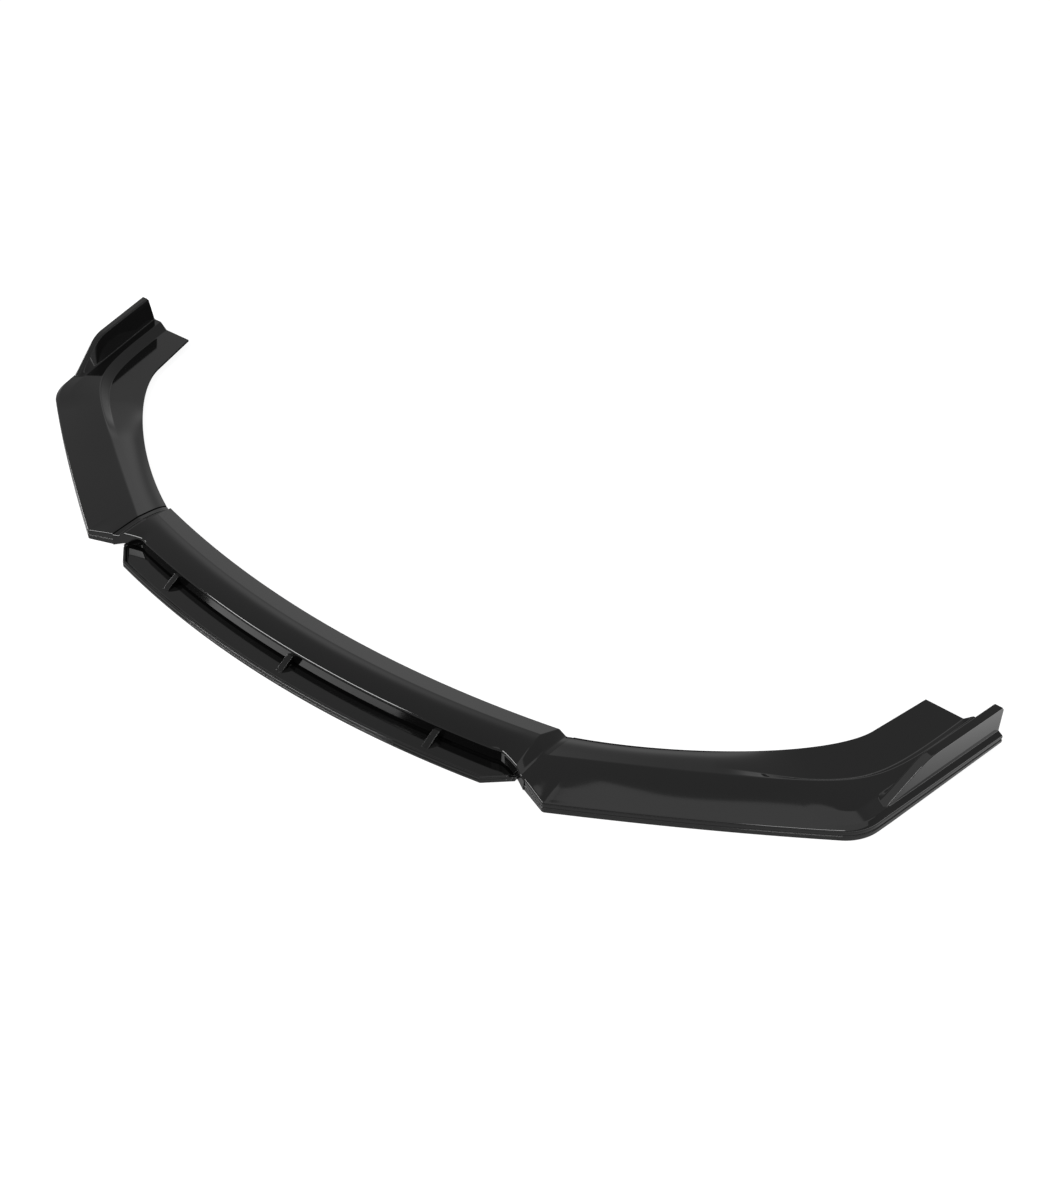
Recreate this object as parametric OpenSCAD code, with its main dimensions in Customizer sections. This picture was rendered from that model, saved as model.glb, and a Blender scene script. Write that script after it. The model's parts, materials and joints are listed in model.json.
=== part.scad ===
// Front splitter lip for a car, moulded in four pieces that are bolted together:
// a raised centre lip, two side lips with upright winglets, and a flat blade whose
// three struts stand under the front edge of the centre lip.
// Seen from the front of the car, X runs to the right, Y to the rear and Z up.
// The origin is on the ground, in the middle of the width and of the depth.

/* [Overall] */
// Width across the rear ends of the side lips
overall_w = 1700; // [1660:1:1740]
// Depth from the blade's front edge to the rear ends
overall_d = 519; // [500:1:540]
// Wall of the hollow mouldings
wall = 3; // [2.4:0.1:3.6]

/* [Centre lip] */
// Width between the two joint faces
centre_w = 804; // [780:1:830]
// Radius of the front edge, seen from above
front_arc_r = 1815; // [1600:5:2100]
// Radius of the crease behind the main face
crease_arc_r = 1660; // [1500:5:1900]
// Radius of the rear edge
rear_arc_r = 1710; // [1550:5:1950]
// Depth of the crowned main face
main_depth = 45; // [38:0.5:50]
// Depth of the sloping rear band
band_depth = 31; // [24:0.5:36]
// Height of the front edge
front_z = 25; // [23:0.5:28]
// Height of the crease
crease_z = 28.5; // [26:0.5:32]
// Height of the rear edge
rear_z = 18; // [15:0.5:21]
// Rise of the main face's crown above its two edges
crown_h = 3; // [1:0.5:5]
// Gap under the front wall, above the ground
front_gap_z = 8; // [7.5:0.1:10]
// Lean of the front wall's foot to the front
front_lean = 1.5; // [0:0.1:3]
// Length of the raised end, from its crease to the joint face
ear_w = 19.5; // [16:0.5:24]
// Width of the flat strip beside the joint face
strip_w = 9.5; // [7:0.5:12]
// Reach of the ears to the front of the front arc
ear_reach = 27; // [20:0.5:32]
// Distance from the joint faces to where the front edge turns forward into the ears
shoulder_in = 52; // [46:1:58]
// Step down from the side lip to the strip
ear_drop = 1.5; // [0.5:0.1:2.5]

/* [Blade] */
// Reach of the blade to the front of the centre lip
blade_reach = 43.5; // [36:0.5:52]
// Radius of the blade's front edge
blade_arc_r = 1745; // [1600:5:1950]
// Thickness of the blade's plate
blade_t = 3.5; // [3:0.1:4]
// Height of the blade's upturned rim
blade_rim_z = 9.5; // [8.5:0.1:11]
// Distance from the blade's front corners to the joint faces
blade_corner_in = 52; // [46:0.5:60]
// Distance from the blade's ends to the joint faces
blade_end_in = 18.5; // [17:0.5:22]
// Reach of the blade under the centre lip
blade_tuck = 40; // [34:0.5:44]
// Width of the blade's upturned rim at its top
blade_rim_w = 4.8; // [4:0.1:6]
// Radius of the blade's front corners
blade_corner_r = 4; // [2:0.5:8]

/* [Struts] */
// Distance between neighbouring struts
strut_pitch = 255; // [200:1:290]
// Width of a strut
strut_w = 10; // [7:0.5:12]
// Reach of a strut to the front of the centre lip
strut_reach = 26.5; // [23:0.5:28]
// Distance from the centre lip's front edge to a strut's knee
strut_knee = 13; // [10:0.5:16]
// Height of a strut's knee
strut_knee_z = 11.7; // [10.5:0.1:13]
// Height of a strut at the front wall
strut_top_z = 16.8; // [14:0.1:18]
// Length of a strut's heel under the front wall
strut_heel = 8; // [6:0.5:10]

/* [Side lip plan] */
// Front corner, measured across from the joint
corner_x = 41.5; // [36:0.5:48]
// Front corner, measured forward from the joint
corner_y = 15; // [11:0.5:19]
// Radius of the front corner
corner_r = 6; // [4:0.5:9]
// Heading of the long front edge
edge_deg = 31.5; // [30:0.1:32.5]
// Turn of the long front edge at each end, which bows it
bow_deg = 2.2; // [1:0.1:4]
// Radius of the outer corner
outer_r = 70; // [50:1:90]
// Splay of the winglet and of the outer edge
splay_deg = 13.6; // [11:0.1:16]
// Width of the rear end
rear_end_w = 114; // [108:0.5:120]
// Skew of the rear end
rear_skew = 3.5; // [1:0.5:6]
// Heading of the inner edge at the joint
inner_deg = 23.7; // [22:0.1:26]
// Splay of the inner edge at the rear end
inner_splay = 16; // [14:0.1:18]
// Straight length of the inner edge at the rear end
inner_straight = 100; // [80:1:115]
// Fullness of the inner edge's curve
inner_full = 0.64; // [0.5:0.01:0.9]
// Crest at the joint, as a distance from the front edge
crest_in = 52; // [46:0.5:58]
// Crest at the rear end, as a distance from the outer edge
crest_rear_in = 45; // [42:0.5:49]
// Heading of the crest at the joint
crest_deg = 29.2; // [28:0.1:30.5]
// Splay of the crest at the rear end
crest_splay = 11.2; // [10:0.1:12.5]
// Fullness of the crest's curve
crest_full = 3.7; // [3:0.1:4.5]

/* [Side lip heights] */
// Height of the rim along the front
rim_z = 16.5; // [15:0.1:18]
// Rise of the rim's top towards the rear end
rim_rise = 2; // [0:0.1:4]
// Rise of the rim's foot towards the rear end
foot_rise = 7; // [4:0.1:8]
// Height of the surface at the front of the joint
joint_front_z = 20; // [18.5:0.1:21.5]
// Height of the crest at the joint
joint_crest_z = 22.5; // [21.5:0.1:24]
// Height of the crest along the winglet
crest_z = 26.4; // [25:0.1:28]
// Height of the inner edge at the joint
inner_z = 9; // [8:0.1:10.5]
// Rise of the inner edge to the rear end
inner_rise = 4.6; // [3:0.1:6]
// Height of the flange at the foot of the step
flange_z = 13.7; // [12.5:0.1:15]
// Run of the step from the crest to its foot
step_w = 12; // [9:0.5:15]
// Depth of the groove around the rims
groove_depth = 1.2; // [0.6:0.1:1.5]
// Width of the groove around the rims
groove_w = 2.6; // [1.6:0.1:3.2]

/* [Winglet] */
// Height of the winglet's top above the ground
fin_z = 67.5; // [56:0.5:80]
// Thickness of the winglet at its top
fin_t = 13; // [11:0.5:16]
// Shelf between the winglet and the outer edge
fin_shelf = 8; // [7:0.5:10]
// Height of the shelf outside the winglet
fin_shelf_z = 24; // [22:0.5:25.5]
// Widening of the winglet from its top to its foot
fin_draft = 7; // [5:0.5:8]
// Place of the winglet's front foot, as a distance from the rear ends
fin_l = 222; // [190:1:230]
// Slope of the winglet's front edge
fin_rise_deg = 32.2; // [28:0.1:36]
// Radius between the front edge and the top
fin_nose_r = 60; // [40:1:80]
// Radius of the winglet's rear top corner
fin_tail_r = 4; // [2:0.5:6]

/* [Fasteners] */
// Diameter of all screws
screw_d = 4; // [3:0.5:4.5]
// Clearance of the screws in the walls
screw_clear = 0.5; // [0.3:0.1:0.8]
// Distance between the joint screws
joint_pitch = 24; // [20:0.5:26]
// First joint screw, as a distance from the front of the joint
joint_first = 22; // [19:0.5:26]
// Blade screws near the ends, as a distance from the joint faces
end_screw_in = 54; // [48:0.5:62]
// Blade screws, as a distance behind the centre lip's front edge
blade_screw_in = 22; // [18:0.5:26]
// Diameter of the screw bosses under the centre lip
boss_d = 10; // [9:0.5:12]

/* [Hidden] */
SIDES = ["left", "right"];
JOINT_SCREWS = 3;
BLADE_SCREWS = 5;
JOINT_KINDS = ["screw", "head_washer", "nut_washer", "nut"];
$fn = 32;

GLOSS_BLACK = "#1b1b1d";
ZINC = "#b9bcc0";
// Clearance between pieces that seat on each other
seat = 0.2;
// Clearance of the screws in their threads
thread_clear = 0.1;
// Rounding of the visible top edges
edge_r = 2;
// Reach of the joint faces behind the centre lip's rear edge
joint_over = 2;
// Clearance between the blade's ends and the front wall's foot
skirt_clear = 2.5;

// General functions

function mix(a, b, t) = a + (b - a) * t;
function ease(a, b, x) = let (t = min(1, max(0, (x - a) / (b - a)))) t * t * (3 - 2 * t);
function heading(deg) = [cos(deg), sin(deg)];
function left_of(v) = [-v.y, v.x];
function cross_z(a, b) = a.x * b.y - a.y * b.x;
// The point where the line from p along u meets the line from q along v
function meet(p, u, q, v) = p + u * cross_z(q - p, v) / cross_z(u, v);
// A shallow arc that bends back from its middle, seen from above
function arc_y(x, mid_y, r) = mid_y + r - sqrt(r * r - x * x);
// The point at t on the conic [start, control, end, fullness]
function conic(c, t) =
    let (a = (1 - t) * (1 - t), b = 2 * c[3] * t * (1 - t), e = t * t)
    (c[0] * a + c[1] * b + c[2] * e) / (a + b + e);
// The point where a conic crosses the line through p that the vector n points across
function on_conic(c, p, n) =
    let (a = (c[0] - p) * n, b = c[3] * ((c[1] - p) * n), e = (c[2] - p) * n)
    conic(c, -a / (b - a + sqrt(max(0, b * b - a * e))));
// A rounded corner between two headings, as n + 1 points
function corner_arc(apex, deg_in, deg_out, r, n) =
    let (start = apex - heading(deg_in) * r * tan((deg_out - deg_in) / 2),
         middle = start + left_of(heading(deg_in)) * r)
    [for (k = [0:n]) middle - left_of(heading(mix(deg_in, deg_out, k / n))) * r];
// The distance run at each point of a path
function runs(path) =
    [for (i = 0, s = 0; i < len(path);
          i = i + 1, s = s + (i < len(path) ? norm(path[i] - path[i - 1]) : 0)) s];
// The point of a path at distance s, from the path and its runs
function at_run(path, run, s) =
    [lookup(s, [for (i = [0:len(path) - 1]) [run[i], path[i].x]]),
     lookup(s, [for (i = [0:len(path) - 1]) [run[i], path[i].y]])];
// Pairs each point of an outer path with the point at the same share of an inner path
function paired(rim, inner) =
    let (rim_run = runs(rim), inner_run = runs(inner),
         scale = inner_run[len(inner) - 1] / rim_run[len(rim) - 1])
    [for (i = [0:len(rim) - 1]) [rim[i], at_run(inner, inner_run, rim_run[i] * scale)]];
// A cross-section of [distance from the rim, height] stood up on the line from rim to inner edge
function stand(pair, section) =
    let (across = (pair[1] - pair[0]) / norm(pair[1] - pair[0]))
    [for (p = section) [pair[0].x + across.x * p[0], pair[0].y + across.y * p[0], p[1]]];

function quad(a, b, c, d) = [[a, b, c], [a, c, d]];
function flat(list) = [for (group = list) each group];

// A hollow moulding, open below and closed by a wall at both ends. Each cross-section runs
// from the inner edge over the top to the rim; cavity has one for each but the two end ones.
module moulding(skin, cavity) {
    n = len(skin) - 1;
    m = len(skin[0]) - 1;
    k = len(cavity[0]) - 1;
    function s(i, j) = i * (m + 1) + j;
    function c(i, j) = (n + 1) * (m + 1) + (i - 1) * (k + 1) + j;
    polyhedron(
        points = concat(flat(skin), flat(cavity)),
        faces = concat(
            flat([for (i = [0:n - 1], j = [0:m - 1]) quad(s(i, j), s(i + 1, j), s(i + 1, j + 1), s(i, j + 1))]),
            flat([for (i = [1:n - 2], j = [0:k - 1]) quad(c(i, j), c(i, j + 1), c(i + 1, j + 1), c(i + 1, j))]),
            flat([for (i = [1:n - 2]) quad(s(i + 1, 0), s(i, 0), c(i, 0), c(i + 1, 0))]),
            flat([for (i = [1:n - 2]) quad(s(i, m), s(i + 1, m), c(i + 1, k), c(i, k))]),
            [[for (j = [0:m]) s(0, j)], [for (j = [m:-1:0]) s(n, j)]],
            [[for (j = [k:-1:0]) c(1, j)], [for (j = [0:k]) c(n - 1, j)]],
            quad(s(0, 0), s(0, m), c(1, k), c(1, 0)),
            quad(s(n, m), s(n, 0), c(n - 1, 0), c(n - 1, k)),
            [[s(1, 0), s(0, 0), c(1, 0)], [s(0, m), s(1, m), c(1, k)]],
            [[s(n, 0), s(n - 1, 0), c(n - 1, 0)], [s(n - 1, m), s(n, m), c(n - 1, k)]]
        )
    );
}

// A solid between closed cross-sections
module loft(sections) {
    n = len(sections) - 1;
    m = len(sections[0]);
    function s(i, j) = i * m + j % m;
    polyhedron(
        points = flat(sections),
        faces = concat(
            flat([for (i = [0:n - 1], j = [0:m - 1]) quad(s(i, j), s(i + 1, j), s(i + 1, j + 1), s(i, j + 1))]),
            [[for (j = [0:m - 1]) s(0, j)], [for (j = [m - 1:-1:0]) s(n, j)]]
        )
    );
}

// The face of a rim from its top to its foot, with the groove at half its height
function rim_face(top_z, foot_z) =
    let (mid = (top_z + foot_z) / 2, half = groove_w / 2, proud = groove_depth / 2)
    [[edge_r + proud + 0.6, top_z], [proud + 0.8, top_z - 0.8], [proud, top_z - edge_r - 0.6],
     [proud, mid + half], [groove_depth, mid + half - 0.6],
     [groove_depth, mid - half + 0.6], [0, mid - half], [0, foot_z]];

// Places that the pieces share

joint_x = centre_w / 2;
front_mid_y = -overall_d / 2 + blade_reach;
crease_mid_y = front_mid_y + main_depth;
rear_mid_y = crease_mid_y + band_depth;
joint_front = arc_y(joint_x, front_mid_y, front_arc_r) - ear_reach;
joint_rear = arc_y(joint_x, rear_mid_y, rear_arc_r) + joint_over;
joint_depth = joint_rear - joint_front;
// Share of the way back at which the crest meets the joint
crest_share = crest_in / joint_depth;

// Fall from the crest to the inner edge, q being the share of the way: partly even, partly steep at the end
even_fall = 0.55;
function inner_fall(q) = even_fall * q + (1 - even_fall) * pow(q, 4);
// Rise from the rim to the crest, which is steeper near the rim
rise_power = 1.6;
function outer_rise(q) = 1 - pow(1 - q, rise_power);
// Height of the side lip's surface along the joint, s being the share of the way back
function joint_z(s) = s < crest_share
    ? mix(joint_front_z, joint_crest_z, outer_rise(s / crest_share))
    : mix(joint_crest_z, inner_z, inner_fall((s - crest_share) / (1 - crest_share)));
// Height of the end walls' lower edge along the joint
function joint_foot_z(s) = s * (inner_z - wall);

// Centre lip

ear_x = joint_x - ear_w;
strip_x = joint_x - strip_w;
shoulder_x = joint_x - shoulder_in;
// Half the length of the shoulder's bend
shoulder_l = 12;
// Where the front wall's foot begins to come down to the ground, clear of the blade's end
skirt_x = joint_x - blade_end_in - skirt_clear;
// Slope and radius of the ears' front edge at the joint
ear_slope = 0.5;
ear_arc_r = 160;
// Bend of the end crease, whose rear end lies nearer to the middle
ear_bend = 6.7;
main_rows = [0.06, 0.2, 0.4, 0.6, 0.8, 1];
band_rows = [0.35, 0.7, 1];

// The front edge: a wide arc, whose ends turn forward to the joints
function ear_y(in) = joint_front + ear_slope * in - in * in / (2 * ear_arc_r);
function front_y(x) = mix(arc_y(x, front_mid_y, front_arc_r), ear_y(joint_x - abs(x)),
                          ease(shoulder_x - shoulder_l, shoulder_x + shoulder_l, abs(x)));
function crease_y(x) = arc_y(x, crease_mid_y, crease_arc_r);
function rear_y(x) = arc_y(x, rear_mid_y, rear_arc_r);
function main_z(q) = mix(front_z, crease_z, q) + crown_h * 4 * q * (1 - q);
function band_z(q) = mix(crease_z, rear_z, q);
function skirt_z(x) = front_gap_z * min(1, (joint_x - abs(x)) / (joint_x - skirt_x));

// One row of the raised part: x is the station, side its sign, q the share of the main face
function raised_row(x, q, b) =
    let (side = sign(x), bend = ear_bend * ease(shoulder_x, ear_x, abs(x)),
         px = x - side * bend * (b > 0 ? 1 - b : q))
    b > 0 ? [px, mix(crease_y(px), rear_y(px), b), band_z(b)]
          : [px, mix(front_y(px), crease_y(px), q), main_z(q)];
// The share of the way back that a row of the raised part has
main_share = main_depth / (main_depth + band_depth);
// One row of the strip beside the joint
function strip_row(x, s) =
    [x, mix(front_y(x), rear_y(x) + (abs(x) > strip_x + wall ? joint_over : 0), s), joint_z(s) - ear_drop];
// All rows at one station, from the rear edge to the front edge
function centre_rows(x) = abs(x) > ear_x + 0.01
    ? [for (s = concat([for (b = [2:-1:0]) mix(main_share, 1, band_rows[b])],
                       [for (q = [5:-1:0]) main_rows[q] * main_share])) strip_row(x, s)]
    : concat([for (b = [2:-1:0]) raised_row(x, 1, band_rows[b])],
             [for (q = [5:-1:0]) raised_row(x, main_rows[q], 0)]);
function centre_skin(x) =
    let (rows = centre_rows(x), rear = rows[0], z = abs(x) > ear_x + 0.01 ? joint_z(0) - ear_drop : front_z,
         y = front_y(x))
    concat([rear - [0, 0, wall]], rows,
           [[x, y + 0.6, z - 0.6], [x, y, z - edge_r], [x, y - front_lean, skirt_z(x)]]);
function centre_cavity(x) =
    let (rows = centre_rows(x), z = abs(x) > ear_x + 0.01 ? joint_z(0) - ear_drop : front_z, y = front_y(x) + wall)
    concat([for (r = rows) if (r.y > y + 1) r - [0, 0, wall]],
           [[x, y + 0.5, z - wall], [x, y - front_lean, skirt_z(x)]]);

half_stations = concat(
    [for (k = [0:11]) (shoulder_x - shoulder_l) * k / 12],
    [for (k = [0:3]) mix(shoulder_x - shoulder_l, skirt_x, k / 3)],
    [ear_x, strip_x, joint_x - seat - wall, joint_x - seat]
);
centre_stations = concat([for (k = [len(half_stations) - 1:-1:1]) -half_stations[k]], half_stations);

// Bores of the joint screws through the end walls
function joint_screw_y(k) = joint_front + joint_first + (k - 1) * joint_pitch;
function joint_screw_z(k) =
    let (s = (joint_screw_y(k) - joint_front) / joint_depth)
    (joint_foot_z(s) + joint_z(s) - ear_drop - wall) / 2;
module at_joint_screw(side, k) {
    translate([side * joint_x, joint_screw_y(k), joint_screw_z(k)]) rotate([0, side * 90, 0]) children();
}
module joint_bores(side) {
    for (k = [1:JOINT_SCREWS])
        at_joint_screw(side, k) cylinder(d = screw_d + screw_clear, h = 2 * (wall + 2), center = true);
}

// Places of the blade screws, behind the struts and near both ends
function blade_screw_x(k) = [-joint_x + end_screw_in, -strut_pitch, 0, strut_pitch, joint_x - end_screw_in][k - 1];
function blade_screw_y(k) = front_y(blade_screw_x(k)) + blade_screw_in;
// Underside of the main face over a blade screw
boss_top = main_z(blade_screw_in / main_depth) - wall / 2;
module at_blade_screw(k) { translate([blade_screw_x(k), blade_screw_y(k), 0]) children(); }

boss_foot = blade_t + seat;
// Length of a blade screw inside its boss
screw_grip = 12;

module centre_lip() {
    color(GLOSS_BLACK) difference() {
        union() {
            moulding([for (x = centre_stations) centre_skin(x)],
                     [for (k = [1:len(centre_stations) - 2]) centre_cavity(centre_stations[k])]);
            for (k = [1:BLADE_SCREWS])
                at_blade_screw(k) translate([0, 0, boss_foot]) cylinder(d = boss_d, h = boss_top - boss_foot);
        }
        for (k = [1:BLADE_SCREWS])
            at_blade_screw(k) translate([0, 0, boss_foot - 1])
                cylinder(d = screw_d + thread_clear, h = screw_grip + 2);
        for (side = [-1, 1]) joint_bores(side);
    }
}

// Side lip, drawn for the side on the right

side_x = joint_x + seat;
rear_end_y = overall_d / 2;
outer_end = [overall_w / 2, rear_end_y - rear_skew];
inner_end = [overall_w / 2 - rear_end_w, rear_end_y];
front_corner = [side_x + corner_x, joint_front - corner_y];
outer_corner = meet(front_corner, heading(edge_deg), outer_end, heading(90 - splay_deg));
joint_deg = -atan(corner_y / corner_x);

front_round = corner_arc(front_corner, joint_deg, edge_deg - bow_deg, corner_r, 3);
outer_round = corner_arc(outer_corner, edge_deg + bow_deg, 90 - splay_deg, outer_r, 8);
edge_start = front_round[len(front_round) - 1];
edge_end = outer_round[0];
edge_curve = [edge_start, meet(edge_start, heading(edge_deg - bow_deg), edge_end, heading(edge_deg + bow_deg)),
              edge_end, 1];
outer_start = outer_round[len(outer_round) - 1];
outer_l = norm(outer_end - outer_start);
joint_edge = heading(joint_deg);

// The rim from the joint, round both corners, to the rear end
rim_path = concat(
    [for (x = [0, wall, (wall + corner_x - corner_r) / 2]) [side_x, joint_front] + joint_edge * x / joint_edge.x],
    front_round,
    [for (k = [1:11]) conic(edge_curve, k / 12)],
    outer_round,
    [for (k = [1:11]) mix(outer_start, outer_end, k / 11 * (1 - wall / outer_l))],
    [outer_end]
);
inner_curve = let (start = [side_x, joint_rear], ahead = heading(90 - inner_splay),
                   end = inner_end - ahead * inner_straight)
    [start, meet(start, heading(inner_deg), end, ahead), end, inner_full];
crest_curve = let (start = [side_x, joint_front + crest_in], end = mix(outer_end, inner_end, crest_rear_in / rear_end_w))
    [start, meet(start, heading(crest_deg), end, heading(90 - crest_splay)), end, crest_full];
inner_path = concat([for (k = [0:48]) conic(inner_curve, k / 48)], [inner_end]);
// The end wall's inner face is a plane, so its cross-section doesn't follow the shares
side_pairs = [for (i = 0, pairs = paired(rim_path, inner_path); i < len(pairs); i = i + 1)
              i == 1 ? [rim_path[1], on_conic(inner_curve, rim_path[1], [1, 0])] : pairs[i]];
side_run = runs(rim_path);
side_l = side_run[len(side_run) - 1];
function side_share(i) = side_run[i] / side_l;

// Where, as shares of the rim's run, the step and the shelf beside the winglet come up
step_from = 0.36;
step_to = 0.6;
shelf_from = 0.54;
shelf_to = 0.7;

// Heights along the side lip, u being the share of the rim's run
function rim_top(u) = mix(joint_front_z, rim_z, ease(0, 0.07, u)) + rim_rise * ease(shelf_from, 1, u);
function rim_foot(u) = foot_rise * max(0, (u - shelf_to) / (1 - shelf_to));
function crest_top(u) = mix(joint_crest_z, crest_z, ease(0.25, 0.65, u));
function inner_top(u) = inner_z + inner_rise * u;

// Height of the winglet's top at y
fin_foot_y = rear_end_y - fin_l;
fin_nose_y = fin_foot_y + (fin_z - rim_z - rim_rise) / tan(fin_rise_deg);
fin_nose_l = fin_nose_r * tan(fin_rise_deg / 2);
function fin_top(y) =
    let (ahead = fin_nose_y + fin_nose_l - y)
    ahead < 0 ? fin_z
    : ahead < fin_nose_l * (1 + cos(fin_rise_deg)) ? fin_z - fin_nose_r + sqrt(pow(fin_nose_r, 2) - ahead * ahead)
    : fin_z - (fin_nose_y - y) * tan(fin_rise_deg);
// Rounding of the winglet's rear top corner, left being the distance to the rear end
function tail_cut(left) = left > fin_tail_r ? 0 : fin_tail_r - sqrt(pow(fin_tail_r, 2) - pow(fin_tail_r - left, 2));

// The winglet in section: distance from the rim's face, and the cut from its top, which is all of
// its height at both feet and the edges' rounding beside them
fin_in = fin_shelf + fin_t;
fin_foot = fin_in + fin_draft;
fin_w = fin_foot - fin_shelf;
fin_rows = [[fin_foot, fin_z], [fin_in + 0.6, edge_r], [fin_in - edge_r, 0],
            [fin_shelf + edge_r + 1, 0], [fin_shelf + 0.8, edge_r], [fin_shelf, fin_z]];
fin_cavity_rows = [[fin_foot - wall, fin_z], [fin_in - wall, 0], [fin_shelf + wall + 1, 0], [fin_shelf + wall, fin_z]];

// One cross-section of the side lip as [distance from the rim, height]: its skin, or its cavity
function side_section(i, hollow) =
    let (u = side_share(i), pair = side_pairs[i], across = pair[1] - pair[0], l = norm(across),
         ahead = rim_path[min(i + 1, len(rim_path) - 1)] - rim_path[max(i - 1, 0)],
         slant = abs(cross_z(ahead, across)) / norm(ahead) / l,
         normal = [across.y, -across.x],
         crest_at = norm(on_conic(crest_curve, pair[0], normal) - pair[0]),
         foot_at = crest_at + step_w, step = ease(step_from, step_to, u),
         shelf = ease(shelf_from, shelf_to, u),
         top = rim_top(u), crest = crest_top(u), inner = inner_top(u),
         front = edge_r / slant)
    let (inside = function (d)
             let (fall = mix(crest, inner, inner_fall((d - crest_at) / (l - crest_at))),
                  level = d < foot_at ? mix(crest, flange_z, (d - crest_at) / step_w)
                        : mix(flange_z, inner, (d - foot_at) / (l - foot_at)))
             mix(fall, level, step),
         outside = function (d) mix(top, crest, outer_rise(max(0, (d - front) / (crest_at - front)))),
         shelf_in = mix(outside(fin_foot / slant), crest, shelf),
         shelf_out = mix(outside(fin_shelf / slant), fin_shelf_z, shelf),
         left = side_l - side_run[i])
    let (fin_row = function (row, thick)
             let (d = row[0] / slant, y = pair[0].y + across.y * d / l,
                  base = mix(shelf_out, shelf_in, (row[0] - fin_shelf) / fin_w),
                  rise = fin_top(y) - tail_cut(left) - row[1])
             [d, max(base, rise) - thick],
         inner_rows = [for (q = [0, 0.14, 0.4, 0.7, 1]) let (d = mix(l, foot_at, q)) [d, inside(d)]],
         outer_rows = [for (q = [0, 0.06, 0.4, 0.75]) let (d = mix(crest_at, fin_foot / slant, q))
                       [d, mix(outside(d), crest, shelf)]])
    hollow
    ? concat([for (p = concat(inner_rows, outer_rows)) [p[0], p[1] - wall]],
             [for (row = fin_cavity_rows) fin_row(row, wall)],
             [[(wall + 1) / slant, top - wall], [wall / slant, top - wall - 1], [wall / slant, rim_foot(u)]])
    : concat([[l, inner - wall]], inner_rows, outer_rows,
             [for (row = fin_rows) fin_row(row, 0)],
             [for (p = rim_face(top, rim_foot(u))) [p[0] / slant, p[1]]]);

module side_lip() {
    last = len(side_pairs) - 1;
    moulding([for (i = [0:last]) stand(side_pairs[i], side_section(i, false))],
             [for (i = [1:last - 1]) stand(side_pairs[i], side_section(i, true))]);
}

module right_side_lip() {
    color(GLOSS_BLACK) difference() {
        side_lip();
        joint_bores(1);
    }
}
module left_side_lip() { mirror([1, 0, 0]) right_side_lip(); }

// Blade

blade_x = joint_x - blade_end_in;
blade_corner = [joint_x - blade_corner_in, arc_y(joint_x - blade_corner_in, -overall_d / 2, blade_arc_r)];
blade_end = [blade_x, front_y(blade_x) - blade_corner_r];
function blade_rear_y(x) = arc_y(x, front_mid_y + blade_tuck, front_arc_r);
blade_half = concat(
    [for (k = [0:13]) let (x = blade_corner.x * k / 14) [x, arc_y(x, -overall_d / 2, blade_arc_r)]],
    corner_arc(blade_corner, asin(blade_corner.x / blade_arc_r), 45, blade_corner_r, 3),
    [for (q = [0.35, 0.7, 0.85, 1]) mix(blade_corner, blade_end, q)]
);
function mirrored(path) = concat([for (k = [len(path) - 1:-1:1]) [-path[k].x, path[k].y]], path);
blade_path = mirrored(blade_half);
blade_rear = [for (k = [-24:24]) let (x = blade_x * k / 24) [x, blade_rear_y(x)]];
blade_pairs = paired(blade_path, blade_rear);
blade_run = runs(blade_path);
// Height of the blade's rim at its ends, where it passes under the ears
blade_end_z = front_gap_z - 2;
// The fillet behind the rim, as distances from it and heights over the plate
blade_fillet = [[9.2, 0], [3.2, 0.2], [1.2, 1.4]];

function blade_section(i) =
    let (end = min(blade_run[i], blade_run[len(blade_run) - 1] - blade_run[i]),
         rim = mix(blade_end_z, blade_rim_z, ease(4, 12, end)),
         across = blade_pairs[i][1] - blade_pairs[i][0], l = norm(across),
         ahead = blade_path[min(i + 1, len(blade_path) - 1)] - blade_path[max(i - 1, 0)],
         slant = abs(cross_z(ahead, across)) / norm(ahead) / l)
    [for (p = concat([[l * slant, 0], [l * slant, blade_t]],
                     [for (p = blade_fillet) [blade_rim_w + p[0], blade_t + p[1]]],
                     [[blade_rim_w, rim - 1.2]], rim_face(rim, 0))) [p[0] / slant, p[1]]];

// One strut in line with the car: its back leans on the front wall, its foot stands in the plate,
// and a narrower heel passes under the wall
function strut_back(z) = -front_lean * (front_z - edge_r - z) / (front_z - edge_r - front_gap_z) - seat;
strut_foot_z = blade_t - 1;
strut_toe = mix(strut_knee, strut_reach, (strut_knee_z - strut_foot_z) / (strut_knee_z - blade_t));
strut_profile = [[strut_back(strut_foot_z), strut_foot_z], [strut_back(strut_top_z), strut_top_z],
                 [-strut_knee, strut_knee_z], [-strut_toe, strut_foot_z]];
heel_w = strut_w - 2;
heel_profile = [[strut_heel, strut_foot_z], [strut_heel, front_gap_z - seat],
                [-strut_knee / 2, front_gap_z - seat], [-strut_knee / 2, strut_foot_z]];
module strut_part(x, w, profile) {
    loft([for (side_x = [x - w / 2, x + w / 2]) [for (p = profile) [side_x, front_y(side_x) + p.x, p.y]]]);
}
module strut(x) {
    strut_part(x, strut_w, strut_profile);
    strut_part(x, heel_w, heel_profile);
}

// Countersunk heads: the cone's rim and its place above the ground
head_r = screw_d;
head_lift = 0.3;
module centre_blade() {
    color(GLOSS_BLACK) difference() {
        union() {
            loft([for (i = [0:len(blade_pairs) - 1]) stand(blade_pairs[i], blade_section(i))]);
            for (x = [-strut_pitch, 0, strut_pitch]) strut(x);
        }
        for (k = [1:BLADE_SCREWS]) at_blade_screw(k) {
            bore_r = (screw_d + screw_clear) / 2;
            sink_r = head_r + head_lift + seat;
            translate([0, 0, -1]) cylinder(r = bore_r, h = blade_t + 2);
            translate([0, 0, -1]) cylinder(r1 = sink_r + 1, r2 = bore_r, h = sink_r + 1 - bore_r);
        }
    }
}

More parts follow.
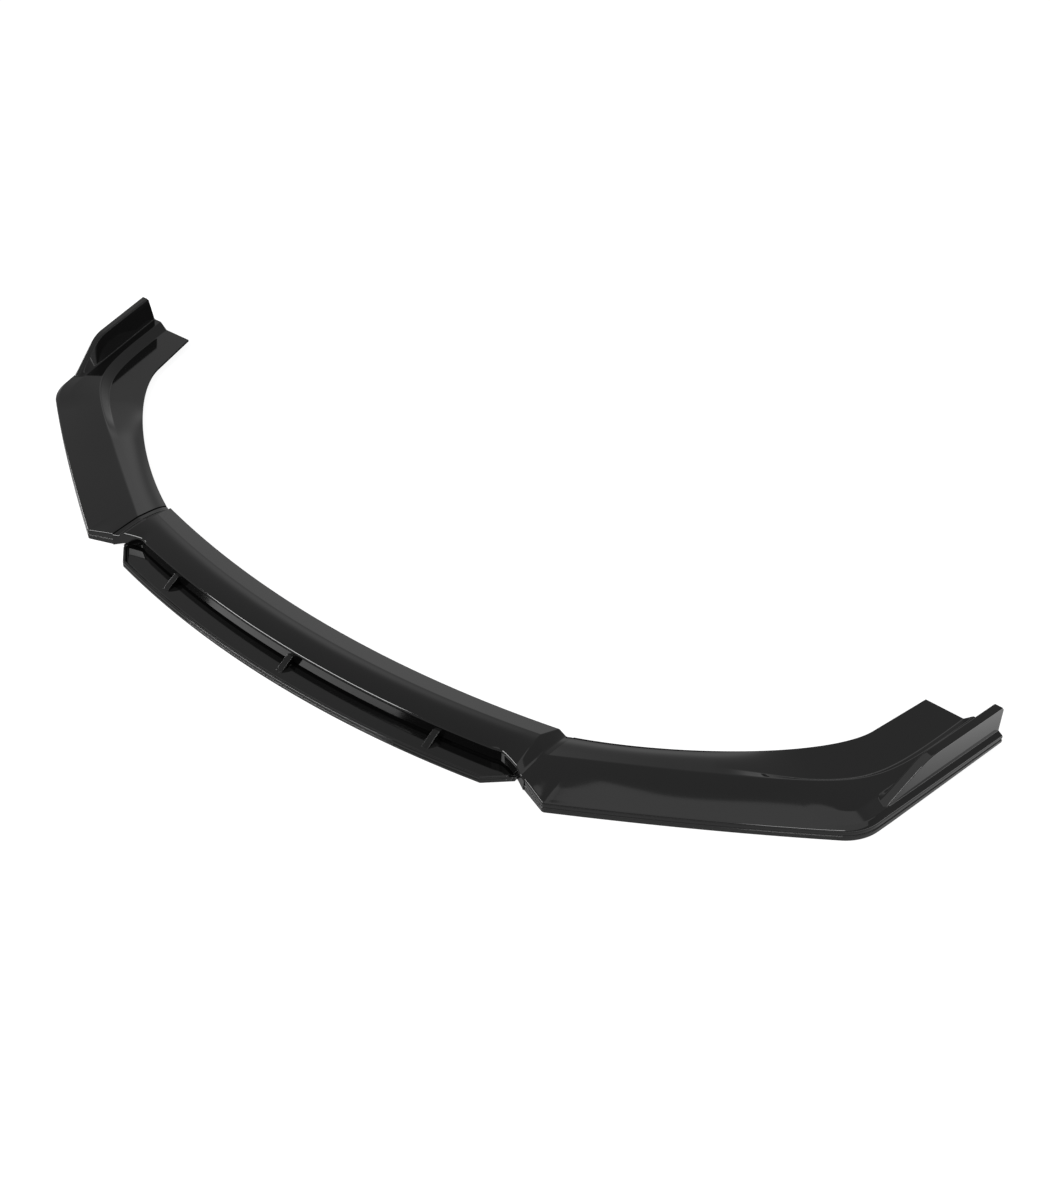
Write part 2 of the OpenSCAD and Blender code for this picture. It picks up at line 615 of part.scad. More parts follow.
// Fasteners

washer_d = 2.25 * screw_d;
washer_t = 0.2 * screw_d;
hex_d = 1.75 * screw_d / cos(30);
head_h = 0.7 * screw_d;
nut_h = 0.8 * screw_d;
// Half the grip of a joint screw, from the joint to the inner face of an end wall
half_grip = seat + wall;

module washer() {
    difference() {
        cylinder(d = washer_d, h = washer_t);
        translate([0, 0, -1]) cylinder(d = screw_d + screw_clear, h = washer_t + 2);
    }
}
module hex_screw(shank) {
    cylinder(d = hex_d, h = head_h, $fn = 6);
    translate([0, 0, -shank]) cylinder(d = screw_d, h = shank + head_h / 2);
}
module hex_nut() {
    difference() {
        cylinder(d = hex_d, h = nut_h, $fn = 6);
        translate([0, 0, -1]) cylinder(d = screw_d + thread_clear, h = nut_h + 2);
    }
}
// One piece of a joint fastener, whose head lies in the side lip and whose nut in the centre lip
module joint_part(side, kind, k) {
    head_at = half_grip + washer_t;
    color(ZINC) at_joint_screw(side, k) {
        if (kind == "screw") translate([0, 0, head_at]) hex_screw(2 * head_at + nut_h + 1);
        if (kind == "head_washer") translate([0, 0, half_grip]) washer();
        if (kind == "nut_washer") translate([0, 0, -head_at]) washer();
        if (kind == "nut") translate([0, 0, -head_at - nut_h]) hex_nut();
    }
}
// A countersunk screw through the blade into a boss of the centre lip
module blade_screw(k) {
    color(ZINC) at_blade_screw(k) translate([0, 0, head_lift]) {
        cylinder(r1 = head_r, r2 = screw_d / 2, h = head_r - screw_d / 2);
        cylinder(d = screw_d, h = boss_foot - head_lift + screw_grip);
    }
}

centre_lip();
left_side_lip();
right_side_lip();
centre_blade();
for (k = [1:BLADE_SCREWS]) blade_screw(k);
for (side = SIDES, kind = JOINT_KINDS, k = [1:JOINT_SCREWS])
    joint_part(side == "left" ? -1 : 1, kind, k);
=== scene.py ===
"""Looks of a four-piece front splitter lip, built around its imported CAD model.

The four mouldings are worked out again from the CAD's own formulas on grids fine enough for a
gloss surface, and replace the faceted solids. The screws, washers and nuts are the CAD's own.
Lengths in the shape functions are millimetres, as on the drawing; meshes are made in metres.
"""

from __future__ import annotations

import json
import logging
import math
from dataclasses import dataclass, field
from enum import Enum
from typing import Callable, Sequence

import bmesh
import bpy
import numpy as np
from mathutils import Matrix

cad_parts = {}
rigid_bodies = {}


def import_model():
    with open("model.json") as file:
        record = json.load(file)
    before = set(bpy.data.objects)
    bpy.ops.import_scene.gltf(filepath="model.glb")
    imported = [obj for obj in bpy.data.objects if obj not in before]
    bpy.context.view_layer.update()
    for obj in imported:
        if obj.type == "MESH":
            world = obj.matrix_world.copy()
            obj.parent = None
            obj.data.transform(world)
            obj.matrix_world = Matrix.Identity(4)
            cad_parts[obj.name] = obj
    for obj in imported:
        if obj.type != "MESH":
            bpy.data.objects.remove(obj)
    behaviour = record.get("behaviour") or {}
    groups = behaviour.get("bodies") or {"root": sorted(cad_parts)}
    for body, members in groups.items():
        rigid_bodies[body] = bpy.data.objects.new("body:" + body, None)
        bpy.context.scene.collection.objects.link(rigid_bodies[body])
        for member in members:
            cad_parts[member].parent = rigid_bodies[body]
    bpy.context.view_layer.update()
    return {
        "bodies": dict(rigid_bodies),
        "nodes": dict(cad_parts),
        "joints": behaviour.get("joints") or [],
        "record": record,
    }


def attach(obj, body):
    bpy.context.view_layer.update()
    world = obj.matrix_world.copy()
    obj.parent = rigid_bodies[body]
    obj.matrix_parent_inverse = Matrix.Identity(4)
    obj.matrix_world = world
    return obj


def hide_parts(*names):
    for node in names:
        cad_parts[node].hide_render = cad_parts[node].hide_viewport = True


LOG = logging.getLogger("splitter")
MM = 0.001
ROOT = "root"
SEAT = 0.2
WALL = 3.0
SHARP_DEG = 38.0
WHITE = (1.0, 1.0, 1.0, 1.0)
Array = np.ndarray
Object = bpy.types.Object
Material = bpy.types.Material
Place = tuple[float, float, float]
Tree = bpy.types.NodeTree
Socket = bpy.types.NodeSocket


class Side(Enum):
    """The two ends of the car's front, seen from the front."""

    LEFT = -1.0
    RIGHT = 1.0

    @property
    def lip(self) -> str:
        """The name of the side's lip."""
        return f"{self.name.lower()}_side_lip"


# Plane geometry --------------------------------------------------------------------------------


def mix(a, b, t):
    """Returns the value at share t of the way from a to b."""
    return a + (b - a) * t


def ease(a: float, b: float, x) -> Array:
    """Returns a step from 0 at a to 1 at b along the cubic 3t^2 - 2t^3."""
    t = np.clip((np.asarray(x, float) - a) / (b - a), 0.0, 1.0)
    return t * t * (3.0 - 2.0 * t)


def points(*parts) -> Array:
    """Returns points from their coordinates, each spread to the same shape."""
    return np.stack(np.broadcast_arrays(*parts), axis=-1)


def heading(deg: float) -> Array:
    """Returns the unit vector that points deg degrees left of +X."""
    return np.array([math.cos(math.radians(deg)), math.sin(math.radians(deg))])


def cross_z(a: Array, b: Array) -> Array:
    """Returns the z component of the cross product of plane vectors."""
    return a[..., 0] * b[..., 1] - a[..., 1] * b[..., 0]


def meet(p: Array, u: Array, q: Array, v: Array) -> Array:
    """Returns the point where the line from p along u meets the line from q along v."""
    return p + u * (cross_z(q - p, v) / cross_z(u, v))


@dataclass(frozen=True)
class Arc:
    """An arc of radius r that bends back from mid_y at x = 0."""

    mid_y: float
    r: float

    def y(self, x):
        """Returns y at x."""
        return self.mid_y + self.r - np.sqrt(self.r * self.r - np.asarray(x, float) ** 2)


@dataclass(frozen=True)
class Conic:
    """A conic from start to end, pulled towards its control point by its fullness."""

    start: Array
    control: Array
    end: Array
    full: float

    @classmethod
    def between(cls, start: Array, deg: float, end: Array, end_deg: float, full: float) -> Conic:
        """Returns the conic that leaves start at one heading and comes to end at another."""
        return cls(start, meet(start, heading(deg), end, heading(end_deg)), end, full)

    def at(self, t) -> Array:
        """Returns points at t: the rational mean of the three points with weights
        (1-t)^2, 2 full t(1-t) and t^2.

        Args:
            t: parameters between 0 and 1.
        Returns:
            An array of plane points, one for each parameter.
        """
        t = np.asarray(t, float)[..., None]
        a, b, e = (1 - t) ** 2, 2 * self.full * t * (1 - t), t * t
        return (self.start * a + self.control * b + self.end * e) / (a + b + e)

    def crossing(self, p: Array, n: Array) -> Array:
        """Returns where the conic crosses lines through p, across which n points.

        The weights' quadratic in t is solved in closed form for the signed distances of
        the three points from each line.

        Args:
            p: one plane point for each line.
            n: one vector across each line.
        Returns:
            One plane point for each line.
        """
        a = np.sum((self.start - p) * n, axis=-1)
        b = self.full * np.sum((self.control - p) * n, axis=-1)
        e = np.sum((self.end - p) * n, axis=-1)
        return self.at(-a / (b - a + np.sqrt(np.maximum(0.0, b * b - a * e))))


def corner_arc(apex: Array, deg_in: float, deg_out: float, r: float, n: int) -> Array:
    """Returns n + 1 points of the arc of radius r that rounds a corner between two headings."""
    start = apex - heading(deg_in) * r * math.tan(math.radians(deg_out - deg_in) / 2)
    middle = start + heading(deg_in + 90) * r
    degs = np.radians(np.linspace(deg_in, deg_out, n + 1))
    return middle - points(-np.sin(degs), np.cos(degs)) * r


def runs(path: Array) -> Array:
    """Returns the distance run at each point of a path."""
    return np.concatenate([[0.0], np.cumsum(np.linalg.norm(np.diff(path, axis=0), axis=1))])


def resampled(path: Array, at: Array) -> Array:
    """Returns the points of a path at shares of its whole length."""
    run = runs(path)
    return points(*(np.interp(at * run[-1], run, path[:, i]) for i in range(2)))


def slants(path: Array, across: Array) -> Array:
    """Returns the sine of the angle between a path and the lines that leave it along across."""
    ahead = np.gradient(path, runs(path), axis=0)
    ahead /= np.linalg.norm(ahead, axis=1)[:, None]
    return np.abs(cross_z(ahead, across))


# Grids and meshes ------------------------------------------------------------------------------


def soften(grid: Array, corners: dict[int, float], steps: int = 7) -> Array:
    """Rounds chosen rows of a grid along its second axis.

    The row P at a corner becomes points of the curve (1-t)^2 A + 2t(1-t) P + t^2 B, where A and B
    lie the corner's radius before and behind P, but at most half-way to the neighbours. A row
    close beyond each end of the curve keeps the faces beside it flat to the eye.

    Args:
        grid: points as (stations, rows, 3).
        corners: the radius for each row number to round; negative rows count from the end.
        steps: how many points take the place of one.
    Returns:
        The grid with steps + 2 rows for each rounded row.
    """
    count = grid.shape[1]
    radii = {row % count: r for row, r in corners.items()}
    t = np.linspace(0.0, 1.0, steps)[None, :, None]
    out: list[Array] = []
    for row in range(count):
        p = grid[:, row]
        if row not in radii:
            out.append(p[:, None])
            continue
        ends, beyond = [], []
        for other in (grid[:, row - 1], grid[:, row + 1]):
            away = other - p
            reach = np.linalg.norm(away, axis=1, keepdims=True)
            for r, found in ((radii[row], ends), (radii[row] * 1.25, beyond)):
                at = p + away * np.minimum(r, reach * 0.5) / np.maximum(reach, 1e-9)
                found.append(at[:, None])
        a, b = ends
        curve = (1 - t) ** 2 * a + 2 * t * (1 - t) * p[:, None] + t * t * b
        out.append(np.concatenate([beyond[0], curve, beyond[1]], axis=1))
    return np.concatenate(out, axis=1)


def section_rows(corners: Sequence[tuple]) -> Array:
    """Returns (stations, corners, 2) from a [distance, height] pair of values for each corner."""
    return np.stack([points(*corner) for corner in corners], axis=1)


def stood(path: Array, across: Array, section: Array) -> Array:
    """Stands a section grid up on the lines that leave a path.

    Args:
        path: plane points, one for each station.
        across: the unit direction of the line at each.
        section: (stations, rows, 2) of [distance along the line, height].
    Returns:
        The grid as (stations, rows, 3).
    """
    plan = path[:, None, :] + across[:, None, :] * section[..., :1]
    return np.concatenate([plan, section[..., 1:]], axis=-1)


def grid_quads(first: int, stations: int, rows: int, flip: bool = False) -> Array:
    """Returns the quads between neighbouring points of a grid that is stored row by row."""
    i, j = np.meshgrid(np.arange(stations - 1), np.arange(rows - 1), indexing="ij")
    a = (first + i * rows + j).ravel()
    quads = np.stack([a, a + 1, a + rows + 1, a + rows], axis=-1)
    return quads[:, ::-1] if flip else quads


def strip_quads(a: Array, b: Array) -> Array:
    """Returns the quads between two lines of as many points, given as point numbers."""
    return np.stack([a[:-1], b[:-1], b[1:], a[1:]], axis=-1)


@dataclass
class MeshData:
    """Points in millimetres with quads and larger faces."""

    points: Array
    quads: Array
    rings: list[Array] = field(default_factory=list)


def joined(parts: Sequence[MeshData]) -> MeshData:
    """Returns several meshes as one."""
    firsts = np.cumsum([0] + [len(part.points) for part in parts])
    pairs = list(zip(parts, firsts))
    return MeshData(np.concatenate([part.points for part in parts]),
                    np.concatenate([part.quads + first for part, first in pairs]),
                    [ring + first for part, first in pairs for ring in part.rings])


def shell(skin: Array, cavity: Array) -> MeshData:
    """Closes a hollow moulding, open below, from its skin and its cavity.

    Args:
        skin: the outer grid, (stations, rows, 3), rows from the inner foot over the top to the rim.
        cavity: the inner grid for all stations but the first and last.
    Returns:
        The closed mesh: both grids, the feet of the two long walls and the two end walls.
    """
    n, m = skin.shape[:2]
    c, k = cavity.shape[:2]
    first = n * m
    s = np.arange(n * m).reshape(n, m)
    v = first + np.arange(c * k).reshape(c, k)
    inner = np.concatenate([v[:1, 0], v[:, 0], v[-1:, 0]])
    outer = np.concatenate([v[:1, -1], v[:, -1], v[-1:, -1]])
    quads = np.concatenate([
        grid_quads(0, n, m),
        strip_quads(s[:, 0], inner)[1:-1], strip_quads(outer, s[:, -1])[1:-1],
        grid_quads(first, c, k, flip=True),
    ])
    rings = [s[0, ::-1], s[-1], v[0], v[-1, ::-1],
             np.array([s[0, 0], s[0, -1], v[0, -1], v[0, 0]]),
             np.array([s[-1, -1], s[-1, 0], v[-1, 0], v[-1, -1]]),
             np.array([s[0, 0], v[0, 0], s[1, 0]]), np.array([s[0, -1], s[1, -1], v[0, -1]]),
             np.array([s[-1, 0], s[-2, 0], v[-1, 0]]), np.array([s[-1, -1], v[-1, -1], s[-2, -1]])]
    return MeshData(np.concatenate([skin.reshape(-1, 3), cavity.reshape(-1, 3)]), quads, rings)


def solid(sections: Array) -> MeshData:
    """Closes a solid between closed cross-sections, (stations, rows, 3)."""
    n, m = sections.shape[:2]
    s = np.arange(n * m).reshape(n, m)
    closed = np.concatenate([s, s[:, :1]], axis=1)
    quads = np.concatenate([strip_quads(b, a) for a, b in zip(closed, closed[1:])])
    return MeshData(sections.reshape(-1, 3), quads, [s[0], s[-1, ::-1]])


def turned(profile: Array, x: float, y: float, sides: int = 48) -> MeshData:
    """Turns a closed profile of [radius, height] round the upright line through x and y.

    Args:
        profile: section points whose first and last lie on the line.
        x: the line's x.
        y: its y.
        sides: points round the line.
    Returns:
        A closed mesh.
    """
    a = np.linspace(0, 2 * math.pi, sides, endpoint=False)[:, None]
    r, h = profile.T
    ring = points(x - r * np.cos(a), y - r * np.sin(a), h)
    s = np.arange(sides * len(r)).reshape(sides, -1)
    closed = np.concatenate([s, s[:1]])
    quads = np.concatenate([strip_quads(a, b) for a, b in zip(closed, closed[1:])])
    return MeshData(ring.reshape(-1, 3), quads)


def make_object(name: str, data: MeshData, material: Material | None = None) -> Object:
    """Makes an object whose place is in its mesh, in metres, with faces that point outwards.

    Args:
        name: the object's name.
        data: points, quads and rings.
        material: its material, if it is to be seen.
    Returns:
        The new object, linked to the scene.
    """
    mesh = bpy.data.meshes.new(name)
    mesh.from_pydata((data.points * MM).tolist(), [],
                     data.quads.tolist() + [ring.tolist() for ring in data.rings])
    mesh.update()
    bm = bmesh.new()
    bm.from_mesh(mesh)
    bmesh.ops.remove_doubles(bm, verts=bm.verts, dist=1e-7)
    bmesh.ops.dissolve_degenerate(bm, edges=bm.edges, dist=1e-7)
    bmesh.ops.recalc_face_normals(bm, faces=bm.faces)
    bm.to_mesh(mesh)
    bm.free()
    if material:
        mesh.materials.append(material)
    obj = bpy.data.objects.new(name, mesh)
    bpy.context.scene.collection.objects.link(obj)
    smooth(obj)
    return obj


def smooth(obj: Object) -> None:
    """Smooths an object's faces, apart from the sharpest edges."""
    obj.data.shade_smooth()
    obj.data.set_sharp_from_angle(angle=math.radians(SHARP_DEG))


def cut(obj: Object, cutter: MeshData) -> None:
    """Cuts a closed mesh, in millimetres, out of an object and leaves no modifier behind."""
    tool = make_object(obj.name + "_cutter", cutter)
    modifier = obj.modifiers.new("cut", "BOOLEAN")
    modifier.operation = "DIFFERENCE"
    modifier.solver = "EXACT"
    modifier.object = tool
    graph = bpy.context.evaluated_depsgraph_get()
    mesh = bpy.data.meshes.new_from_object(obj.evaluated_get(graph))
    obj.modifiers.clear()
    old = obj.data
    obj.data = mesh
    mesh.name = obj.name
    bpy.data.meshes.remove(old)
    bpy.data.objects.remove(tool)
    smooth(obj)


# Materials -------------------------------------------------------------------------------------


def srgb(code: str) -> tuple[float, float, float, float]:
    """Returns the linear colour of an sRGB hex code such as "#1b1b1d"."""
    values = np.array([int(code[i:i + 2], 16) / 255 for i in (1, 3, 5)])
    linear = np.where(values <= 0.04045, values / 12.92, ((values + 0.055) / 1.055) ** 2.4)
    return (*map(float, linear), 1.0)


def add_node(tree: Tree, kind: str, links: dict | None = None, settings: dict | None = None,
             **inputs) -> bpy.types.Node:
    """Adds a node with its settings, values and links.

    Args:
        tree: the node tree.
        kind: the node's type name.
        links: an output socket or a value for each input name or number.
        settings: attributes of the node itself.
        **inputs: values for inputs, with _ for a blank in their names.
    Returns:
        The new node.
    """
    node = tree.nodes.new(kind)
    for name, value in (settings or {}).items():
        setattr(node, name, value)
    for name, value in inputs.items():
        node.inputs[name.replace("_", " ")].default_value = value
    for name, value in (links or {}).items():
        if isinstance(value, Socket):
            tree.links.new(value, node.inputs[name])
        else:
            node.inputs[name].default_value = value
    return node


def calculated(tree: Tree, operation: str, *values) -> Socket:
    """Returns the result of a math node for sockets or numbers."""
    node = add_node(tree, "ShaderNodeMath", dict(enumerate(values)), {"operation": operation})
    return node.outputs["Value"]


def measured(tree: Tree, operation: str, vector: Socket, other: Sequence[float]) -> Socket:
    """Returns the number that a vector math node makes of a vector and a fixed one."""
    node = add_node(tree, "ShaderNodeVectorMath", {0: vector, 1: other}, {"operation": operation})
    return node.outputs["Value"]


def ranged(tree: Tree, value: Socket, low: float, high: float, start: float = 0.0,
           end: float = 1.0, curve: str = "LINEAR") -> Socket:
    """Returns a value that goes from low to high while the given one goes from start to end."""
    return add_node(tree, "ShaderNodeMapRange", {"Value": value}, {"interpolation_type": curve},
                    From_Min=start, From_Max=end, To_Min=low, To_Max=high).outputs["Result"]


def noise(tree: Tree, wave_mm: float, detail: float, roughness: float = 0.6) -> Socket:
    """Returns noise fixed to the object, in waves about as long as wave_mm."""
    place = add_node(tree, "ShaderNodeTexCoord").outputs["Object"]
    return add_node(tree, "ShaderNodeTexNoise", {"Vector": place}, Scale=1 / (wave_mm * MM),
                    Detail=detail, Roughness=roughness).outputs["Fac"]


def emission(tree: Tree, level: Socket) -> Socket:
    """Returns a white shader that looks as bright as its level."""
    return add_node(tree, "ShaderNodeEmission", {"Strength": level}, Color=WHITE).outputs[0]


def mixed(tree: Tree, share: Socket, first: Socket, second: Socket) -> Socket:
    """Returns a shader that takes a share of the second and the rest of the first."""
    return add_node(tree, "ShaderNodeMixShader", {0: share, 1: first, 2: second}).outputs[0]


def new_material(name: str) -> tuple[Material, Tree, Socket]:
    """Returns an empty node material, its tree and the socket that takes its surface."""
    material = bpy.data.materials.new(name)
    material.use_nodes = True
    tree = material.node_tree
    tree.nodes.clear()
    return material, tree, tree.nodes.new("ShaderNodeOutputMaterial").inputs["Surface"]


def coat(tree: Tree, out: Socket, height: Socket, depth_mm: float, inputs: dict,
         strength: float = 1.0) -> None:
    """Gives a material its principled shader, bumped by a height.

    Args:
        tree: the material's tree.
        out: the socket that takes its surface.
        height: the bump's height between 0 and 1.
        depth_mm: how deep a height of 1 is.
        inputs: a value or a socket for each of the shader's inputs.
        strength: the share of the bump that is seen.
    """
    bump = add_node(tree, "ShaderNodeBump", {"Height": height}, Strength=strength,
                    Distance=depth_mm * MM).outputs["Normal"]
    shader = add_node(tree, "ShaderNodeBsdfPrincipled", {"Normal": bump, **inputs})
    tree.links.new(shader.outputs["BSDF"], out)


@dataclass(frozen=True)
class MouldedGlossBlack:
    """ABS moulded against a polished tool and left in its own deep black gloss.

    The eye gets mirror-like reflections that waver slightly, because the skin shrinks a little
    unevenly as it cools, and hardly any light from the body itself.
    """

    colour: str = "#090909"
    roughness: float = 0.07
    roughness_swing: float = 0.03
    ior: float = 1.54
    ripple_mm: float = 26.0
    ripple_depth_mm: float = 0.003
    haze_mm: float = 3.0

    def build(self) -> Material:
        """Returns the material: noise at the ripple's width bends the surface, finer noise
        varies the roughness."""
        material, tree, out = new_material("moulded_gloss_black_abs")
        haze = noise(tree, self.haze_mm, 3.0)
        swing = self.roughness_swing
        coat(tree, out, noise(tree, self.ripple_mm, 1.0, 0.4), self.ripple_depth_mm,
             {"Base Color": srgb(self.colour), "IOR": self.ior,
              "Roughness": ranged(tree, haze, self.roughness - swing, self.roughness + swing)})
        return material


@dataclass(frozen=True)
class ZincPlatedSteel:
    """Cold-headed steel with bright zinc plating: a soft metal sheen with a faint blotchy bloom."""

    colour: str = "#c3c6ca"
    bloom: str = "#a7abb2"
    smoothest: float = 0.24
    roughest: float = 0.4
    bloom_mm: float = 1.6
    bloom_depth_mm: float = 0.02

    def build(self) -> Material:
        """Returns the material: noise at the bloom's width varies colour and roughness."""
        material, tree, out = new_material("bright_zinc_plated_steel")
        bloom = noise(tree, self.bloom_mm, 4.0)
        tone = add_node(tree, "ShaderNodeMix",
                        {"Factor": bloom, 6: srgb(self.colour), 7: srgb(self.bloom)},
                        {"data_type": "RGBA"})
        coat(tree, out, bloom, self.bloom_depth_mm,
             {"Base Color": tone.outputs[2], "Metallic": 1.0,
              "Roughness": ranged(tree, bloom, self.smoothest, self.roughest)}, 0.3)
        return material


# Shapes shared by the pieces -------------------------------------------------------------------


@dataclass(frozen=True)
class Overall:
    """Sizes that all four mouldings share, in millimetres."""

    width: float = 1700.0
    depth: float = 519.0
    centre_w: float = 804.0
    front_arc_r: float = 1815.0
    crease_arc_r: float = 1660.0
    rear_arc_r: float = 1710.0
    main_depth: float = 45.0
    band_depth: float = 31.0
    blade_reach: float = 43.5
    ear_reach: float = 27.0
    edge_r: float = 2.0
    joint_front_z: float = 20.0
    joint_crest_z: float = 22.5
    inner_z: float = 9.0
    crest_in: float = 52.0
    front_gap_z: float = 8.0
    joint_lip: float = 2.0

    @property
    def joint_x(self) -> float:
        """The joint's x: half the centre lip's width."""
        return self.centre_w / 2

    @property
    def end_x(self) -> float:
        """The inner face of the centre lip's end wall."""
        return self.joint_x - SEAT - WALL

    @property
    def front(self) -> Arc:
        """The centre lip's front edge."""
        return Arc(-self.depth / 2 + self.blade_reach, self.front_arc_r)

    @property
    def crease(self) -> Arc:
        """The crease behind the main face."""
        return Arc(self.front.mid_y + self.main_depth, self.crease_arc_r)

    @property
    def rear(self) -> Arc:
        """The centre lip's rear edge."""
        return Arc(self.crease.mid_y + self.band_depth, self.rear_arc_r)

    @property
    def joint_front(self) -> float:
        """The joint's front end."""
        return float(self.front.y(self.joint_x)) - self.ear_reach

    @property
    def joint_rear(self) -> float:
        """The joint's rear end."""
        return float(self.rear.y(self.joint_x)) + self.joint_lip

    def joint_z(self, s) -> Array:
        """Returns the side lip's height along the joint at share s of the way back: a rise of
        1 - (1-q)^1.6 to the crest, then a fall of 0.55 q + 0.45 q^4."""
        s = np.asarray(s, float)
        share = self.crest_in / (self.joint_rear - self.joint_front)
        rise = mix(self.joint_front_z, self.joint_crest_z, outer_rise(s / share))
        fall = mix(self.joint_crest_z, self.inner_z, inner_fall((s - share) / (1 - share)))
        return np.where(s < share, rise, fall)


def outer_rise(q) -> Array:
    """Returns the rise from the rim to the crest: 1 - (1-q)^1.6."""
    return 1 - np.power(1 - np.clip(q, 0.0, 1.0), 1.6)


def inner_fall(q) -> Array:
    """Returns the fall from the crest to the inner edge: 0.55 q + 0.45 q^4."""
    q = np.clip(q, 0.0, 1.0)
    return 0.55 * q + 0.45 * q ** 4


def rim_rows(top: Array, foot: Array, depth: float = 1.2, width: float = 2.6,
             slope: float = 0.5) -> Array:
    """Returns a rim's face as (stations, 6, 2) corners of [distance, height], groove included.

    Args:
        top: the rim's top height at each station.
        foot: its foot.
        depth: the groove's depth.
        width: the groove's width.
        slope: how far the groove's upper and lower faces slope inwards.
    Returns:
        The corners from the top to the foot.
    """
    mid, half, proud = (top + foot) / 2, width / 2, depth / 2
    return section_rows([(proud, top), (proud, mid + half), (depth, mid + half - slope),
                         (depth, mid - half + slope), (0.0, mid - half), (0.0, foot)])


# Centre lip ------------------------------------------------------------------------------------


